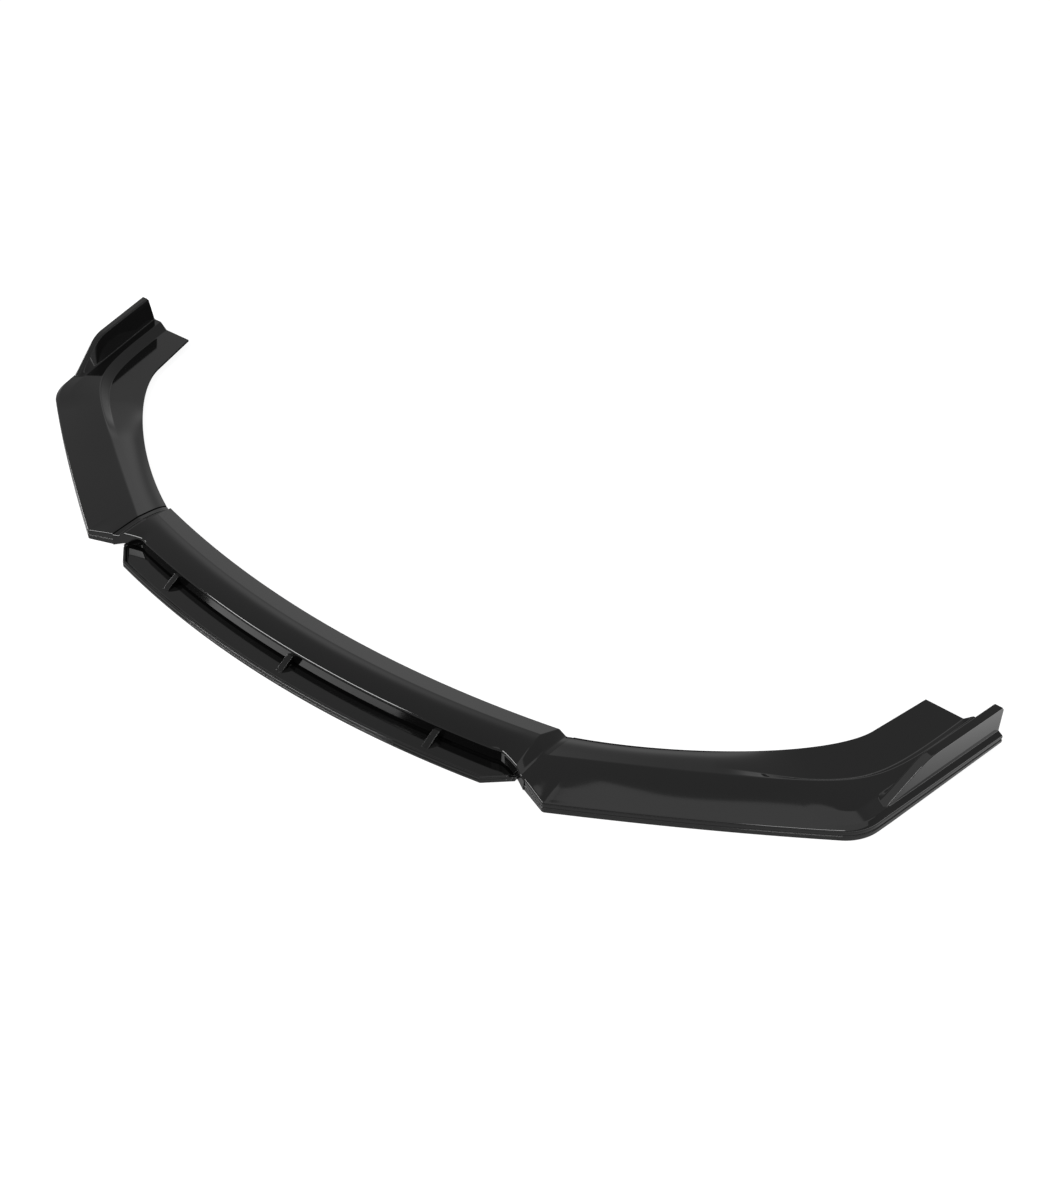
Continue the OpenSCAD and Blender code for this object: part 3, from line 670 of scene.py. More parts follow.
@dataclass
class CentreLip:
    """The raised centre lip: crowned main face, sloping rear band and a strip at each joint."""

    all: Overall
    front_z: float = 25.0
    crease_z: float = 28.5
    rear_z: float = 18.0
    crown_h: float = 3.0
    front_lean: float = 1.5
    ear_w: float = 19.5
    strip_w: float = 9.5
    ear_drop: float = 1.5
    ear_slope: float = 0.5
    ear_arc_r: float = 160.0
    ear_bend: float = 6.7
    shoulder_in: float = 52.0
    shoulder_ease: float = 12.0
    skirt_in: float = 21.0
    end_screw_in: float = 54.0
    screw_in: float = 22.0
    strut_pitch: float = 255.0
    boss_d: float = 10.0
    boss_foot: float = 3.7
    boss_bevel: float = 0.3
    bore_clear: float = 0.05
    screw_d: float = 4.0
    screw_grip: float = 12.0

    def front_y(self, x) -> Array:
        """Returns the front edge: the wide arc, eased into the ears, whose y falls by a slope
        and a quadratic towards the joint."""
        a = self.all
        inn = a.joint_x - np.abs(x)
        ear = a.joint_front + self.ear_slope * inn - inn * inn / (2 * self.ear_arc_r)
        shoulder = a.joint_x - self.shoulder_in
        return mix(a.front.y(x), ear,
                   ease(shoulder - self.shoulder_ease, shoulder + self.shoulder_ease, np.abs(x)))

    def main_z(self, q) -> Array:
        """Returns the main face's height at share q: a ramp with a parabolic crown."""
        return mix(self.front_z, self.crease_z, q) + self.crown_h * 4 * q * (1 - q)

    def skirt_z(self, x) -> Array:
        """Returns the front wall's foot, which comes down to the ground beside the blade."""
        a = self.all
        return a.front_gap_z * np.minimum(1.0, (a.joint_x - np.abs(x)) / self.skirt_in)

    def surface(self, x: Array, raised: bool, band: Array, main: Array) -> Array:
        """Returns the top surface at stations x as (stations, rows, 3), rear edge first.

        Args:
            x: the stations.
            raised: whether they lie on the raised part or on the strip beside a joint.
            band: shares of the rear band, from the crease.
            main: shares of the main face, from the front edge.
        Returns:
            The grid of the band's rows, rear first, and the main face's, crease first.
        """
        a = self.all
        share = a.main_depth / (a.main_depth + a.band_depth)
        b, q = band[::-1], main[::-1]
        xs = x[:, None]
        if not raised:
            s = np.concatenate([mix(share, 1.0, b), q * share])
            wide = (np.abs(xs) > a.joint_x - self.strip_w + 1) * a.joint_lip
            y = mix(self.front_y(xs), a.rear.y(xs) + wide, s)
            return points(xs, y, a.joint_z(s) - self.ear_drop)
        shift = ease(a.joint_x - self.shoulder_in, a.joint_x - self.ear_w, np.abs(xs))
        bend = np.sign(xs) * self.ear_bend * shift
        xb, xq = xs - bend * (1 - b), xs - bend * q
        rear = points(xb, mix(a.crease.y(xb), a.rear.y(xb), b), mix(self.crease_z, self.rear_z, b))
        front = points(xq, mix(self.front_y(xq), a.crease.y(xq), q), self.main_z(q))
        return np.concatenate([rear, front], axis=1)

    def skin(self) -> Array:
        """Returns the outer grid, with its creases rounded along and across."""
        a = self.all
        ease_from = a.joint_x - self.shoulder_in - self.shoulder_ease
        half = np.concatenate([np.linspace(0, ease_from - 2, 70),
                               np.linspace(ease_from, a.joint_x - self.ear_w, 24)])
        strip = np.array([a.joint_x - self.strip_w, a.end_x, a.joint_x - SEAT])
        band, main = np.linspace(0.08, 1.0, 12), np.concatenate([[0.0], np.linspace(0.14, 1.0, 22)])
        top = np.concatenate([self.surface(-strip[::-1], False, band, main),
                              self.surface(np.concatenate([-half[:0:-1], half]), True, band, main),
                              self.surface(strip, False, band, main)])
        xs, y, z = top[:, -1].T
        foot_z = self.skirt_z(xs)
        rear = top[:, 0] - [0.0, 0.0, WALL]
        wall = section_rows([(xs, y - self.front_lean * 0.4, mix(z, foot_z, 0.5)),
                             (xs, y - self.front_lean, foot_z)])
        grid = np.concatenate([rear[:, None], top, wall], axis=1)
        crease = 1 + len(band)
        grid = soften(grid, {1: 1.2, crease: 1.5, crease + len(main) - 1: 3.2})
        ends = len(strip)
        across = {2: 2.5, ends: 2.0, -ends - 1: 2.0, -3: 2.5}
        return soften(grid.swapaxes(0, 1), across).swapaxes(0, 1)

    def cavity(self, skin: Array) -> Array:
        """Returns the inner grid: rows of the top surface lowered by the wall, then the front
        wall's inner face, for every station of the skin but its two ends.

        Args:
            skin: the outer grid. Its first three rows and the front wall's are left out.
        Returns:
            The grid, with the rows kept a little behind the front wall's inner face.
        """
        limit = self.all.end_x
        picks = np.linspace(3, skin.shape[1] - 17, 16).astype(int)
        rows = skin[1:-1][:, picks] - [0.0, 0.0, WALL]
        rows[..., 0] = np.clip(rows[..., 0], -limit, limit)
        front = self.front_y(np.clip(skin[1:-1, skin.shape[1] // 2, 0], -limit, limit)) + WALL
        rows[..., 1] = np.maximum(rows[..., 1], (front + 0.6)[:, None])
        x, _, z = rows[:, -1].T
        wall = section_rows([(x, front + 0.3, z - 1.0),
                             (x, front - self.front_lean, self.skirt_z(x))])
        return np.concatenate([rows, wall], axis=1)

    def screw_places(self) -> Array:
        """Returns the blade screws' places, behind the struts and near both ends."""
        end = self.all.joint_x - self.end_screw_in
        xs = np.array([-end, -self.strut_pitch, 0.0, self.strut_pitch, end])
        return points(xs, self.front_y(xs) + self.screw_in)

    def bosses(self) -> MeshData:
        """Returns the hollow bosses under the main face, each a turned tube closed at its top."""
        top = float(self.main_z(self.screw_in / self.all.main_depth)) - WALL / 2
        foot, r, bevel = self.boss_foot, self.boss_d / 2, self.boss_bevel
        bore, deep = self.screw_d / 2 + self.bore_clear, foot + self.screw_grip + 1.0
        profile = np.array([[0, deep], [bore, deep], [bore, foot], [r - bevel, foot],
                            [r, foot + bevel], [r, top], [0, top]])
        return joined([turned(profile, x, y) for x, y in self.screw_places()])

    def build(self, material: Material) -> Object:
        """Returns the finished centre lip."""
        skin = self.skin()
        body = shell(skin, self.cavity(skin))
        return make_object("centre_lip_shell", joined([body, self.bosses()]), material)


# Side lip --------------------------------------------------------------------------------------


@dataclass
class SideLip:
    """A side lip with its upright winglet, worked out for the right and mirrored for the left."""

    all: Overall
    corner_x: float = 41.5
    corner_y: float = 15.0
    corner_r: float = 6.0
    edge_deg: float = 31.5
    bow_deg: float = 2.2
    outer_r: float = 70.0
    splay_deg: float = 13.6
    rear_end_w: float = 114.0
    rear_skew: float = 3.5
    inner_deg: float = 23.7
    inner_splay: float = 16.0
    inner_straight: float = 100.0
    inner_full: float = 0.64
    crest_rear_in: float = 45.0
    crest_deg: float = 29.2
    crest_splay: float = 11.2
    crest_full: float = 3.7
    rim_z: float = 16.5
    rim_rise: float = 2.0
    foot_rise: float = 7.0
    crest_z: float = 26.4
    inner_rise: float = 4.6
    flange_z: float = 13.7
    step_w: float = 12.0
    fin_z: float = 67.5
    fin_t: float = 13.0
    fin_shelf: float = 8.0
    fin_shelf_z: float = 24.0
    fin_draft: float = 7.0
    fin_l: float = 222.0
    fin_rise_deg: float = 32.2
    fin_nose_r: float = 60.0
    fin_tail_r: float = 4.0
    joint_share: float = 0.07
    crest_from: float = 0.25
    crest_to: float = 0.65
    step_from: float = 0.36
    step_to: float = 0.6
    shelf_from: float = 0.54
    shelf_to: float = 0.7
    rows_in: int = 26
    rows_out: int = 10

    def __post_init__(self) -> None:
        """Works out the rim, the inner edge, the crest and the lines between them."""
        a = self.all
        side_x, rear_y = a.joint_x + SEAT, a.depth / 2
        outer_deg = 90 - self.splay_deg
        start = np.array([side_x, a.joint_front])
        outer_end = np.array([a.width / 2, rear_y - self.rear_skew])
        inner_end = np.array([a.width / 2 - self.rear_end_w, rear_y])
        corner = start + [self.corner_x, -self.corner_y]
        outer_corner = meet(corner, heading(self.edge_deg), outer_end, heading(outer_deg))
        joint_deg = -math.degrees(math.atan(self.corner_y / self.corner_x))
        from_deg, to_deg = self.edge_deg - self.bow_deg, self.edge_deg + self.bow_deg
        front = corner_arc(corner, joint_deg, from_deg, self.corner_r, 10)
        outer = corner_arc(outer_corner, to_deg, outer_deg, self.outer_r, 40)
        edge = Conic.between(front[-1], from_deg, outer[0], to_deg, 1.0)
        ahead = heading(joint_deg) / heading(joint_deg)[0]
        first = start + ahead * np.array([0.0, WALL, WALL + 2.0])[:, None]
        to_corner = np.linspace(first[-1], front[0], 14)[1:-1]
        run_out = np.linalg.norm(outer_end - outer[-1])
        last = np.linspace(outer[-1], outer_end + (outer[-1] - outer_end) * WALL / run_out, 200)
        bowed = edge.at(np.linspace(0, 1, 120)[1:-1])
        self.rim = np.concatenate([first, to_corner, front, bowed, outer, last[1:], outer_end[None]])
        self.run = runs(self.rim)
        self.u = self.run / self.run[-1]
        inner_deg = 90 - self.inner_splay
        curve = Conic.between(np.array([side_x, a.joint_rear]), self.inner_deg,
                              inner_end - heading(inner_deg) * self.inner_straight, inner_deg,
                              self.inner_full)
        inner = np.concatenate([curve.at(np.linspace(0, 1, 400)), inner_end[None]])
        self.inner = resampled(inner, self.u)
        self.inner[1] = curve.crossing(self.rim[1], np.array([1.0, 0.0]))
        crest = Conic.between(start + [0.0, a.crest_in], self.crest_deg,
                              mix(outer_end, inner_end, self.crest_rear_in / self.rear_end_w),
                              90 - self.crest_splay, self.crest_full)
        across = self.inner - self.rim
        self.length = np.linalg.norm(across, axis=1)
        self.across = across / self.length[:, None]
        self.slant = slants(self.rim, self.across)
        normal = points(across[:, 1], -across[:, 0])
        self.crest_at = np.linalg.norm(crest.crossing(self.rim, normal) - self.rim, axis=1)

    def rim_top(self) -> Array:
        """Returns the rim's top along the lip."""
        return (mix(self.all.joint_front_z, self.rim_z, ease(0, self.joint_share, self.u))
                + self.rim_rise * ease(self.shelf_from, 1, self.u))

    def rim_foot(self) -> Array:
        """Returns the rim's foot, which rises towards the rear end."""
        return self.foot_rise * np.maximum(0.0, (self.u - self.shelf_to) / (1 - self.shelf_to))

    def fin_top(self, y: Array) -> Array:
        """Returns the winglet's top line: a slope, an arc that rounds it off, then level."""
        rise = math.radians(self.fin_rise_deg)
        foot_y = self.all.depth / 2 - self.fin_l
        nose_y = foot_y + (self.fin_z - self.rim_z - self.rim_rise) / math.tan(rise)
        nose_l = self.fin_nose_r * math.tan(rise / 2)
        ahead = nose_y + nose_l - y
        r = self.fin_nose_r
        arc = self.fin_z - r + np.sqrt(np.maximum(0.0, r ** 2 - ahead ** 2))
        slope = self.fin_z - (nose_y - y) * math.tan(rise)
        line = np.where(ahead < nose_l * (1 + math.cos(rise)), arc, slope)
        return np.where(ahead < 0, self.fin_z, line)

    def tail_cut(self) -> Array:
        """Returns how far the winglet's rear top corner is cut down at each station."""
        r = self.fin_tail_r
        left = np.minimum(self.run[-1] - self.run, r)
        return r - np.sqrt(r * r - (r - left) ** 2)

    def heights(self) -> tuple[Callable[[Array], Array], Callable[[Array], Array], Array]:
        """Returns two functions that give the surface's height at distances from the rim, for
        inside and outside the crest, and the crest's height."""
        a, u = self.all, self.u[:, None]
        crest = mix(a.joint_crest_z, self.crest_z, ease(self.crest_from, self.crest_to, u))
        inner = a.inner_z + self.inner_rise * u
        top = self.rim_top()[:, None]
        crest_at, length = self.crest_at[:, None], self.length[:, None]
        foot_at = crest_at + self.step_w
        step = ease(self.step_from, self.step_to, u)
        front = a.edge_r / self.slant[:, None]

        def inside(d: Array) -> Array:
            """Height between the crest and the inner edge: the fall of the front part, eased
            into a step with a flange behind it."""
            fall = mix(crest, inner, inner_fall((d - crest_at) / (length - crest_at)))
            level = np.where(d < foot_at, mix(crest, self.flange_z, (d - crest_at) / self.step_w),
                             mix(self.flange_z, inner, (d - foot_at) / (length - foot_at)))
            return mix(fall, level, step)

        def outside(d: Array) -> Array:
            """Height between the rim and the crest."""
            return mix(top, crest, outer_rise((d - front) / (crest_at - front)))

        return inside, outside, crest

    def grid(self, thick: float) -> Array:
        """Returns the skin (thick 0) or the cavity's roof (thick the wall) as a section grid.

        Args:
            thick: how far the surface is lowered, and the winglet's faces brought in.
        Returns:
            (stations, rows, 2) of [distance from the rim, height], from the inner edge to the rim.
        """
        inside, outside, crest = self.heights()
        rows_in, rows_out = (9, 4) if thick else (self.rows_in, self.rows_out)
        slant, crest_at = self.slant[:, None], self.crest_at[:, None]
        foot_at = crest_at + self.step_w
        fin_out, fin_in = self.fin_shelf, self.fin_shelf + self.fin_t
        fin_foot = fin_in + self.fin_draft
        d_top = np.concatenate([mix(self.length[:, None], foot_at, np.linspace(0, 1, rows_in)),
                                mix(foot_at, crest_at, np.array([0.5, 1.0]))], axis=1)
        d_out = mix(crest_at, fin_foot / slant, np.linspace(0, 1, rows_out + 2)[1:-1])
        shelf = ease(self.shelf_from, self.shelf_to, self.u[:, None])
        shelf_in = mix(outside(fin_foot / slant), crest, shelf)
        shelf_out = mix(outside(fin_out / slant), self.fin_shelf_z, shelf)
        d, z = [d_top, d_out], [inside(d_top), mix(outside(d_out), crest, shelf)]
        on_lip = 2 * self.fin_z
        for row, cut_down in ((fin_foot - thick, on_lip), (fin_in - thick, 0.0),
                              (fin_out + thick + 1.0, 0.0), (fin_out + thick, on_lip)):
            at = row / slant
            y = self.rim[:, 1:2] + self.across[:, 1:2] * at
            base = mix(shelf_out, shelf_in, (row - fin_out) / (fin_foot - fin_out))
            d.append(at)
            z.append(np.maximum(base, self.fin_top(y) - self.tail_cut()[:, None] - cut_down))
        return points(np.concatenate(d, axis=1), np.concatenate(z, axis=1) - thick)

    def skin(self) -> Array:
        """Returns the outer grid with its edges rounded: the inner edge, the step's foot, the
        crest, the winglet's foot, two top edges and its outer foot, the rim and its groove."""
        top = self.grid(0.0)
        rim = rim_rows(self.rim_top(), self.rim_foot())
        rim[..., 0] /= self.slant[:, None]
        section = np.concatenate([top[:, :1] - [0.0, WALL], top, rim], axis=1)
        grid = stood(self.rim, self.across, section)
        foot = self.rows_in
        crest = foot + 2
        fin = crest + self.rows_out + 1
        r = self.all.edge_r
        return soften(grid, {1: 1.0, foot: 1.5, crest: 2.2, fin: 2.5, fin + 1: r, fin + 2: r,
                             fin + 3: 1.0, fin + 4: 2.8,
                             fin + 5: 0.5, fin + 6: 0.4, fin + 7: 0.4, fin + 8: 0.5})

    def cavity(self) -> Array:
        """Returns the inner grid for all stations but the two ends."""
        top, at = self.rim_top() - WALL, WALL / self.slant
        wall = section_rows([((WALL + 1) / self.slant, top), (at, top - 1), (at, self.rim_foot())])
        return stood(self.rim, self.across, np.concatenate([self.grid(WALL), wall], axis=1))[1:-1]

    def build(self, side: Side, material: Material) -> Object:
        """Returns the finished side lip of one side."""
        data = shell(self.skin(), self.cavity())
        data.points[:, 0] *= side.value
        return make_object(side.lip + "_shell", data, material)


# Blade -----------------------------------------------------------------------------------------


@dataclass
class Blade:
    """The flat blade with its upturned rim and three struts."""

    all: Overall
    centre: CentreLip
    arc_r: float = 1745.0
    thick: float = 3.5
    rim_z: float = 9.5
    rim_from: float = 4.0
    rim_to: float = 12.0
    corner_in: float = 52.0
    corner_deg: float = 45.0
    corner_r: float = 4.0
    end_in: float = 18.5
    tuck: float = 40.0
    strut_w: float = 10.0
    strut_reach: float = 26.5
    strut_knee: float = 13.0
    strut_knee_z: float = 11.7
    strut_top_z: float = 16.8
    strut_heel: float = 8.0
    strut_bevel: float = 0.8
    heel_bevel: float = 0.2
    toe_reach: float = 14.0
    toe_mid: float = 7.0
    toe_top: float = 4.6
    screw_clear: float = 0.5
    head_lift: float = 0.3

    def sections(self) -> Array:
        """Returns the closed sections along the blade: floor, plate, fillet and grooved rim. The
        plate's rear edge, the fillet, the rim's top and its groove are rounded."""
        a = self.all
        end_x, corner_x = a.joint_x - self.end_in, a.joint_x - self.corner_in
        front = Arc(-a.depth / 2, self.arc_r)
        xs = np.linspace(0, corner_x * 13 / 14, 60)
        corner = points(corner_x, front.y(corner_x))
        turn = corner_arc(corner, math.degrees(math.asin(corner_x / self.arc_r)), self.corner_deg,
                          self.corner_r, 8)
        end = points(end_x, self.centre.front_y(end_x) - 4)
        half = np.concatenate([points(xs, front.y(xs)), turn,
                               mix(turn[-1], end, np.linspace(0, 1, 26)[1:, None])])
        path = np.concatenate([half[:0:-1] * [-1, 1], half])
        rear_x = np.linspace(-end_x, end_x, 241)
        run = runs(path)
        rear = points(rear_x, Arc(a.front.mid_y + self.tuck, a.front_arc_r).y(rear_x))
        across = resampled(rear, run / run[-1]) - path
        length = np.linalg.norm(across, axis=1)
        across /= length[:, None]
        slant = slants(path, across)
        near = np.minimum(run, run[-1] - run)
        top = mix(a.front_gap_z - 2, self.rim_z, ease(self.rim_from, self.rim_to, near))
        level = self.thick + 0 * top
        plate = section_rows([(length * slant, 0.0), (length * slant, level),
                              (self.toe_reach, level), (self.toe_mid, level), (self.toe_top, top)])
        section = np.concatenate([plate, rim_rows(top, 0 * top)], axis=1)
        section[..., 0] /= slant[:, None]
        grid = stood(path, across, section)
        return soften(grid, {1: 0.6, 3: 2.5, 4: 2.0, 5: 2.4, 6: 0.4, 7: 0.4, 8: 0.4, 9: 0.4}, 6)

    def strut_back(self, z: float) -> float:
        """Returns where the strut's back stands at height z, close to the leaning front wall."""
        c = self.centre
        top = c.front_z - self.all.edge_r
        return -c.front_lean * (top - z) / (top - self.all.front_gap_z) - SEAT

    def carried(self, x: float, width: float, profile: Array, bevel: float) -> MeshData:
        """Returns a side profile carried across a width, along the centre lip's front edge.

        Args:
            x: the middle of the width.
            width: its width.
            profile: closed section of [distance behind the front edge, height], whose second
                and third corners are on top.
            bevel: how far those come down at both sides, on a rounded edge.
        Returns:
            A closed mesh.
        """
        half = width / 2
        angle = np.radians(np.linspace(0, 90, 5))
        side = bevel * (1 - np.sin(angle)) / half
        drop = bevel * (1 - np.cos(angle))
        xs = (x + np.concatenate([-1 + side[::-1], 1 - side]) * half)[:, None]
        drops = np.concatenate([drop[::-1], drop])[:, None] * [0.0, 1.0, 1.0, 0.0]
        return solid(points(xs, self.centre.front_y(xs) + profile[:, 0], profile[:, 1] - drops))

    def strut(self, x: float) -> MeshData:
        """Returns one strut: a back that leans on the front wall, a knee, and a narrower heel."""
        foot, knee, knee_z = self.thick - 1, self.strut_knee, self.strut_knee_z
        toe = mix(knee, self.strut_reach, (knee_z - foot) / (knee_z - self.thick))
        top = self.strut_top_z
        profile = np.array([[self.strut_back(foot), foot], [self.strut_back(top), top],
                            [-knee, knee_z], [-toe, foot]])
        ceiling = self.all.front_gap_z - SEAT
        heel = np.array([[self.strut_heel, foot], [self.strut_heel, ceiling],
                         [-knee / 2, ceiling], [-knee / 2, foot]])
        return joined([self.carried(x, self.strut_w, profile, self.strut_bevel),
                       self.carried(x, self.strut_w - 2, heel, self.heel_bevel)])

    def build(self, material: Material) -> Object:
        """Returns the finished blade, with a countersunk bore for each of its screws."""
        obj = make_object("blade_plate", solid(self.sections()), material)
        bore = (self.centre.screw_d + self.screw_clear) / 2
        sink = self.centre.screw_d + self.head_lift + SEAT
        above = self.thick + 1
        profile = np.array([[0, -1], [sink + 1, -1], [bore, sink - bore],
                            [bore, above], [0, above]])
        cut(obj, joined([turned(profile, x, y) for x, y in self.centre.screw_places()]))
        return obj

    def struts(self, material: Material) -> list[Object]:
        """Returns the three struts, left to right."""
        pitch = self.centre.strut_pitch
        return [make_object(f"blade_strut_{k + 2}", self.strut(k * pitch), material)
                for k in (-1, 0, 1)]


# Studio ----------------------------------------------------------------------------------------


@dataclass(frozen=True)
class Softbox:
    """A rectangular soft lamp that looks at a point."""

    name: str
    place: Place
    target: Place
    width: float
    height: float
    level: float

    def build(self) -> None:
        """Adds the lamp to the scene. Its face looks as bright as its level, where 1 is white:
        an area lamp of W watts shows W / (pi * area)."""
        lamp = bpy.data.lights.new(self.name, "AREA")
        lamp.shape = "RECTANGLE"
        lamp.size, lamp.size_y = self.width, self.height
        lamp.energy = self.level * math.pi * self.width * self.height
        obj = bpy.data.objects.new(self.name, lamp)
        aim(obj, self.place, self.target)


def aim(obj: Object, place: Sequence[float], target: Sequence[float]) -> None:
    """Links an object, placed so that its -Z looks at the target, with its X level."""
    back = np.array(place, float) - np.array(target, float)
    back /= np.linalg.norm(back)
    upright = [0.0, 0.0, 1.0] if abs(back[2]) < 0.999 else [0.0, 1.0, 0.0]
    right = np.cross(upright, back)
    right /= np.linalg.norm(right)
    up = np.cross(back, right)
    rows = [[right[i], up[i], back[i], place[i]] for i in range(3)]
    obj.matrix_world = Matrix(rows + [[0, 0, 0, 1]])
    bpy.context.scene.collection.objects.link(obj)


@dataclass
class Studio:
    """A white floor, a grey surround with soft glows, soft lamps and the camera.

    Levels say how bright a surface looks, where 1 is white. The lip's arc lies on a circle round
    arc_middle, in metres on the floor.
    """

    azimuth_deg: float = 38.389
    elevation_deg: float = 41.5
    target: Place = (0.0, 0.3129, -0.2479)
    distance: float = 2.608
    lens: float = 45.5
    floor_edge: float = 14.0
    floor_below_mm: float = 0.3
    floor_paint: str = "#8c8c8c"
    floor_seen: float = 0.9
    # The floor's levels in the gloss: painted shade along the lip's arc, an even level away from it,
    # and painted light on the right.
    floor_painted_shade: float = 0.06
    floor_in_gloss: float = 0.5
    floor_painted_light: float = 3.4
    arc_middle: Place = (0.0, 0.75, 0.0)
    # The painted shade lies on a ring of radius arc_r round arc_middle and fades out over the
    # distances in shade; the painted light fades in along x over side.
    arc_r: float = 0.84
    shade: tuple[float, float] = (0.05, 0.14)
    side: tuple[float, float] = (0.8, 1.1)
    surround_levels: tuple[tuple[float, float], ...] = (
        (0.0, 0.42), (0.3, 0.38), (0.6, 0.36), (1.0, 0.34))
    lamps: tuple[Softbox, ...] = (
        Softbox("overhead_softbox", (1.05, -0.275, 1.5), (1.05, -0.275, 0.0), 2.25, 1.85, 0.5),
        Softbox("front_softbox", (-1.25, -1.4, 1.38), (-1.25, -0.1, 0.0), 1.45, 0.65, 12.0),
        Softbox("corner_softbox", (1.36, -0.68, 1.4), (0.75, 0.0, 0.0), 0.3, 0.45, 8.0),
        Softbox("side_softbox", (-2.4, -0.34, 0.95), (-0.7, 0.0, 0.0), 0.85, 0.4, 10.0),
    )
    glows: tuple[tuple[Place, float, float], ...] = (
        ((-0.547, 0.811, 0.208), 60.0, 0.9),
        ((-0.561, 0.623, 0.545), 130.0, 1.3),
        ((0.05, 0.5, 0.865), 60.0, 0.4),
    )

    def camera(self) -> None:
        """Adds the camera at the photograph's angle."""
        az, el = math.radians(self.azimuth_deg), math.radians(self.elevation_deg)
        back = np.array([math.sin(az) * math.cos(el), -math.cos(az) * math.cos(el), math.sin(el)])
        data = bpy.data.cameras.new("camera")
        data.sensor_fit = "VERTICAL"
        data.sensor_height = 36.0
        data.lens = self.lens
        data.clip_end = 60.0
        obj = bpy.data.objects.new("camera", data)
        aim(obj, np.array(self.target) + back * self.distance, self.target)
        bpy.context.scene.camera = obj

    def floor(self) -> None:
        """Adds the white floor. Its own light keeps it pale for the camera, and its matt paint
        still takes the object's shadow. In the gloss it shows painted shade, dim along the lip's
        arc, and an even level away from it, and a painted pool of light, bright on the right next to
        the lamps."""
        material, tree, out = new_material("white_studio_floor")
        path = add_node(tree, "ShaderNodeLightPath").outputs
        place = add_node(tree, "ShaderNodeTexCoord").outputs["Object"]
        # Painted shade: a dim ring along the lip's arc, seen only in the gloss.
        away = measured(tree, "DISTANCE", place, self.arc_middle)
        off = calculated(tree, "ABSOLUTE", calculated(tree, "SUBTRACT", away, self.arc_r))
        dim, side = self.floor_in_gloss, self.floor_painted_light
        painted_shade_ring = ranged(tree, off, self.floor_painted_shade, dim, *self.shade, "SMOOTHSTEP")
        # Painted light: a bright zone on the right, seen only in the gloss.
        across = add_node(tree, "ShaderNodeSeparateXYZ", {"Vector": place}).outputs["X"]
        beside = ranged(tree, across, 0.0, side - dim, *self.side, "SMOOTHSTEP")
        paint = add_node(tree, "ShaderNodeBsdfDiffuse", Color=srgb(self.floor_paint)).outputs[0]
        own = emission(tree, calculated(tree, "MULTIPLY", path["Is Camera Ray"], self.floor_seen))
        lit = add_node(tree, "ShaderNodeAddShader", {0: paint, 1: own}).outputs[0]
        mirrored = calculated(tree, "MAXIMUM", path["Is Glossy Ray"], path["Is Transmission Ray"])
        # The floor as the gloss sees it: the even level plus the painted shade and the painted
        # light.
        glow = emission(tree, calculated(tree, "ADD", painted_shade_ring, beside))
        tree.links.new(mixed(tree, mirrored, lit, glow), out)
        x, y = np.array([[-1, 1, 1, -1], [-1, -1, 1, 1]]) * self.floor_edge / MM
        plane = MeshData(points(x, y, -self.floor_below_mm), np.array([[0, 1, 2, 3]]))
        make_object("floor", plane, material)

    def surround(self) -> None:
        """Sets the world: white to the camera, and otherwise a grey studio, a little darker
        overhead, with soft glows on its walls.

        A glow adds gain times the cosine of the angle from its middle, raised to its sharpness.
        """
        world = bpy.data.worlds.new("studio")
        world.use_nodes = True
        tree = world.node_tree
        tree.nodes.clear()
        way = add_node(tree, "ShaderNodeTexCoord").outputs["Generated"]
        height = add_node(tree, "ShaderNodeSeparateXYZ", {"Vector": way}).outputs["Z"]
        ramp = add_node(tree, "ShaderNodeValToRGB", {"Fac": height})
        elements = ramp.color_ramp.elements
        while len(elements) < len(self.surround_levels):
            elements.new(0.5)
        for element, (at, level) in zip(elements, self.surround_levels):
            element.position = at
            element.color = (level, level, level, 1.0)
        strength = 1.0
        for direction, sharpness, gain in self.glows:
            ahead = calculated(tree, "MAXIMUM", measured(tree, "DOT_PRODUCT", way, direction), 0.0)
            lobe = calculated(tree, "POWER", ahead, sharpness)
            strength = calculated(tree, "MULTIPLY_ADD", lobe, gain, strength)
        light = add_node(tree, "ShaderNodeBackground",
                         {"Color": ramp.outputs["Color"], "Strength": strength})
        white = add_node(tree, "ShaderNodeBackground", Color=WHITE)
        seen = add_node(tree, "ShaderNodeLightPath").outputs["Is Camera Ray"]
        out = tree.nodes.new("ShaderNodeOutputWorld").inputs["Surface"]
        tree.links.new(mixed(tree, seen, light.outputs[0], white.outputs[0]), out)
        bpy.context.scene.world = world

    def build(self) -> None:
        """Builds the whole studio."""
        self.camera()
        self.floor()
        self.surround()
        for lamp in self.lamps:
            lamp.build()
        bpy.context.scene.view_settings.view_transform = "Standard"


# Assembly --------------------------------------------------------------------------------------


@dataclass
class Assembly:
    """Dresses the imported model: new gloss mouldings and plated fasteners."""

    frame: dict
    gloss: MouldedGlossBlack = MouldedGlossBlack()
    zinc: ZincPlatedSteel = ZincPlatedSteel()

    def place(self, piece: Object, node: str = "") -> None:
        """Lets a moulding ride on the part's body and stand for its CAD node, if it has one."""
        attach(piece, ROOT)
        if node:
            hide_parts(node)
        LOG.info("%s: %d faces, for %s", piece.name, len(piece.data.polygons), node or "no node")

    def fasteners(self) -> None:
        """Gives every screw, washer and nut its plating."""
        steel = self.zinc.build()
        for name, obj in self.frame["nodes"].items():
            if "screw" in name or "washer" in name or "nut" in name:
                for slot in obj.material_slots:
                    slot.material = steel
                LOG.info("%s: plated", name)

    def build(self) -> None:
        """Builds and places everything."""
        black = self.gloss.build()
        overall = Overall()
        centre = CentreLip(overall)
        self.place(centre.build(black), "centre_lip")
        side = SideLip(overall)
        for which in Side:
            self.place(side.build(which, black), which.lip)
        blade = Blade(overall, centre)
        self.place(blade.build(black), "centre_blade")
        for strut in blade.struts(black):
            self.place(strut)
        self.fasteners()


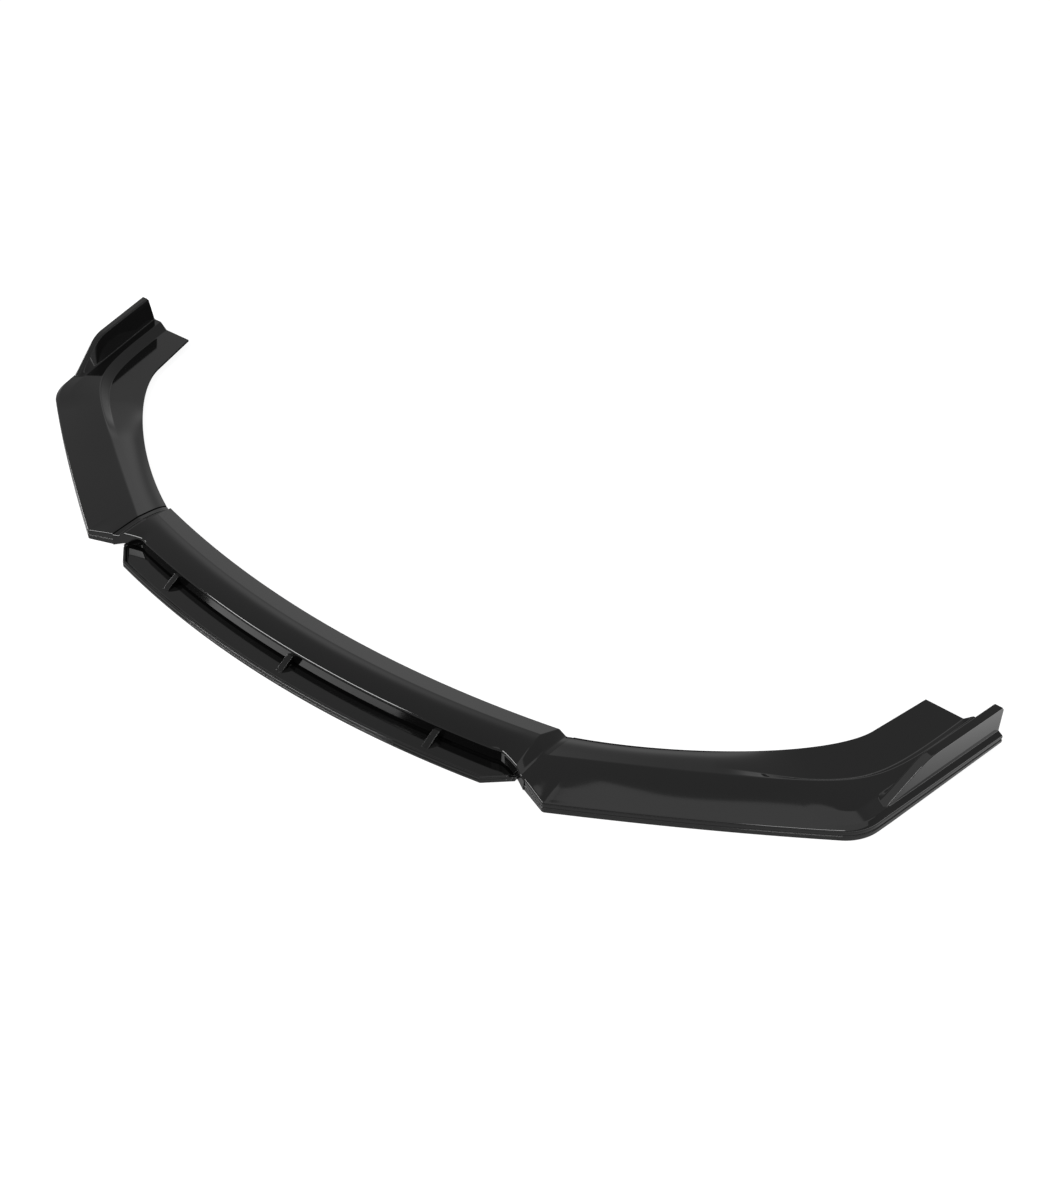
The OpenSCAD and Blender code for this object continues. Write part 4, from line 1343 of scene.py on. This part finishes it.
def main() -> None:
    """Loads the frame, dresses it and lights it."""
    logging.basicConfig(level=logging.INFO, format="%(message)s")
    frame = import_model()
    Assembly(frame).build()
    Studio().build()
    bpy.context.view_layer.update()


if __name__ == "__main__":
    main()
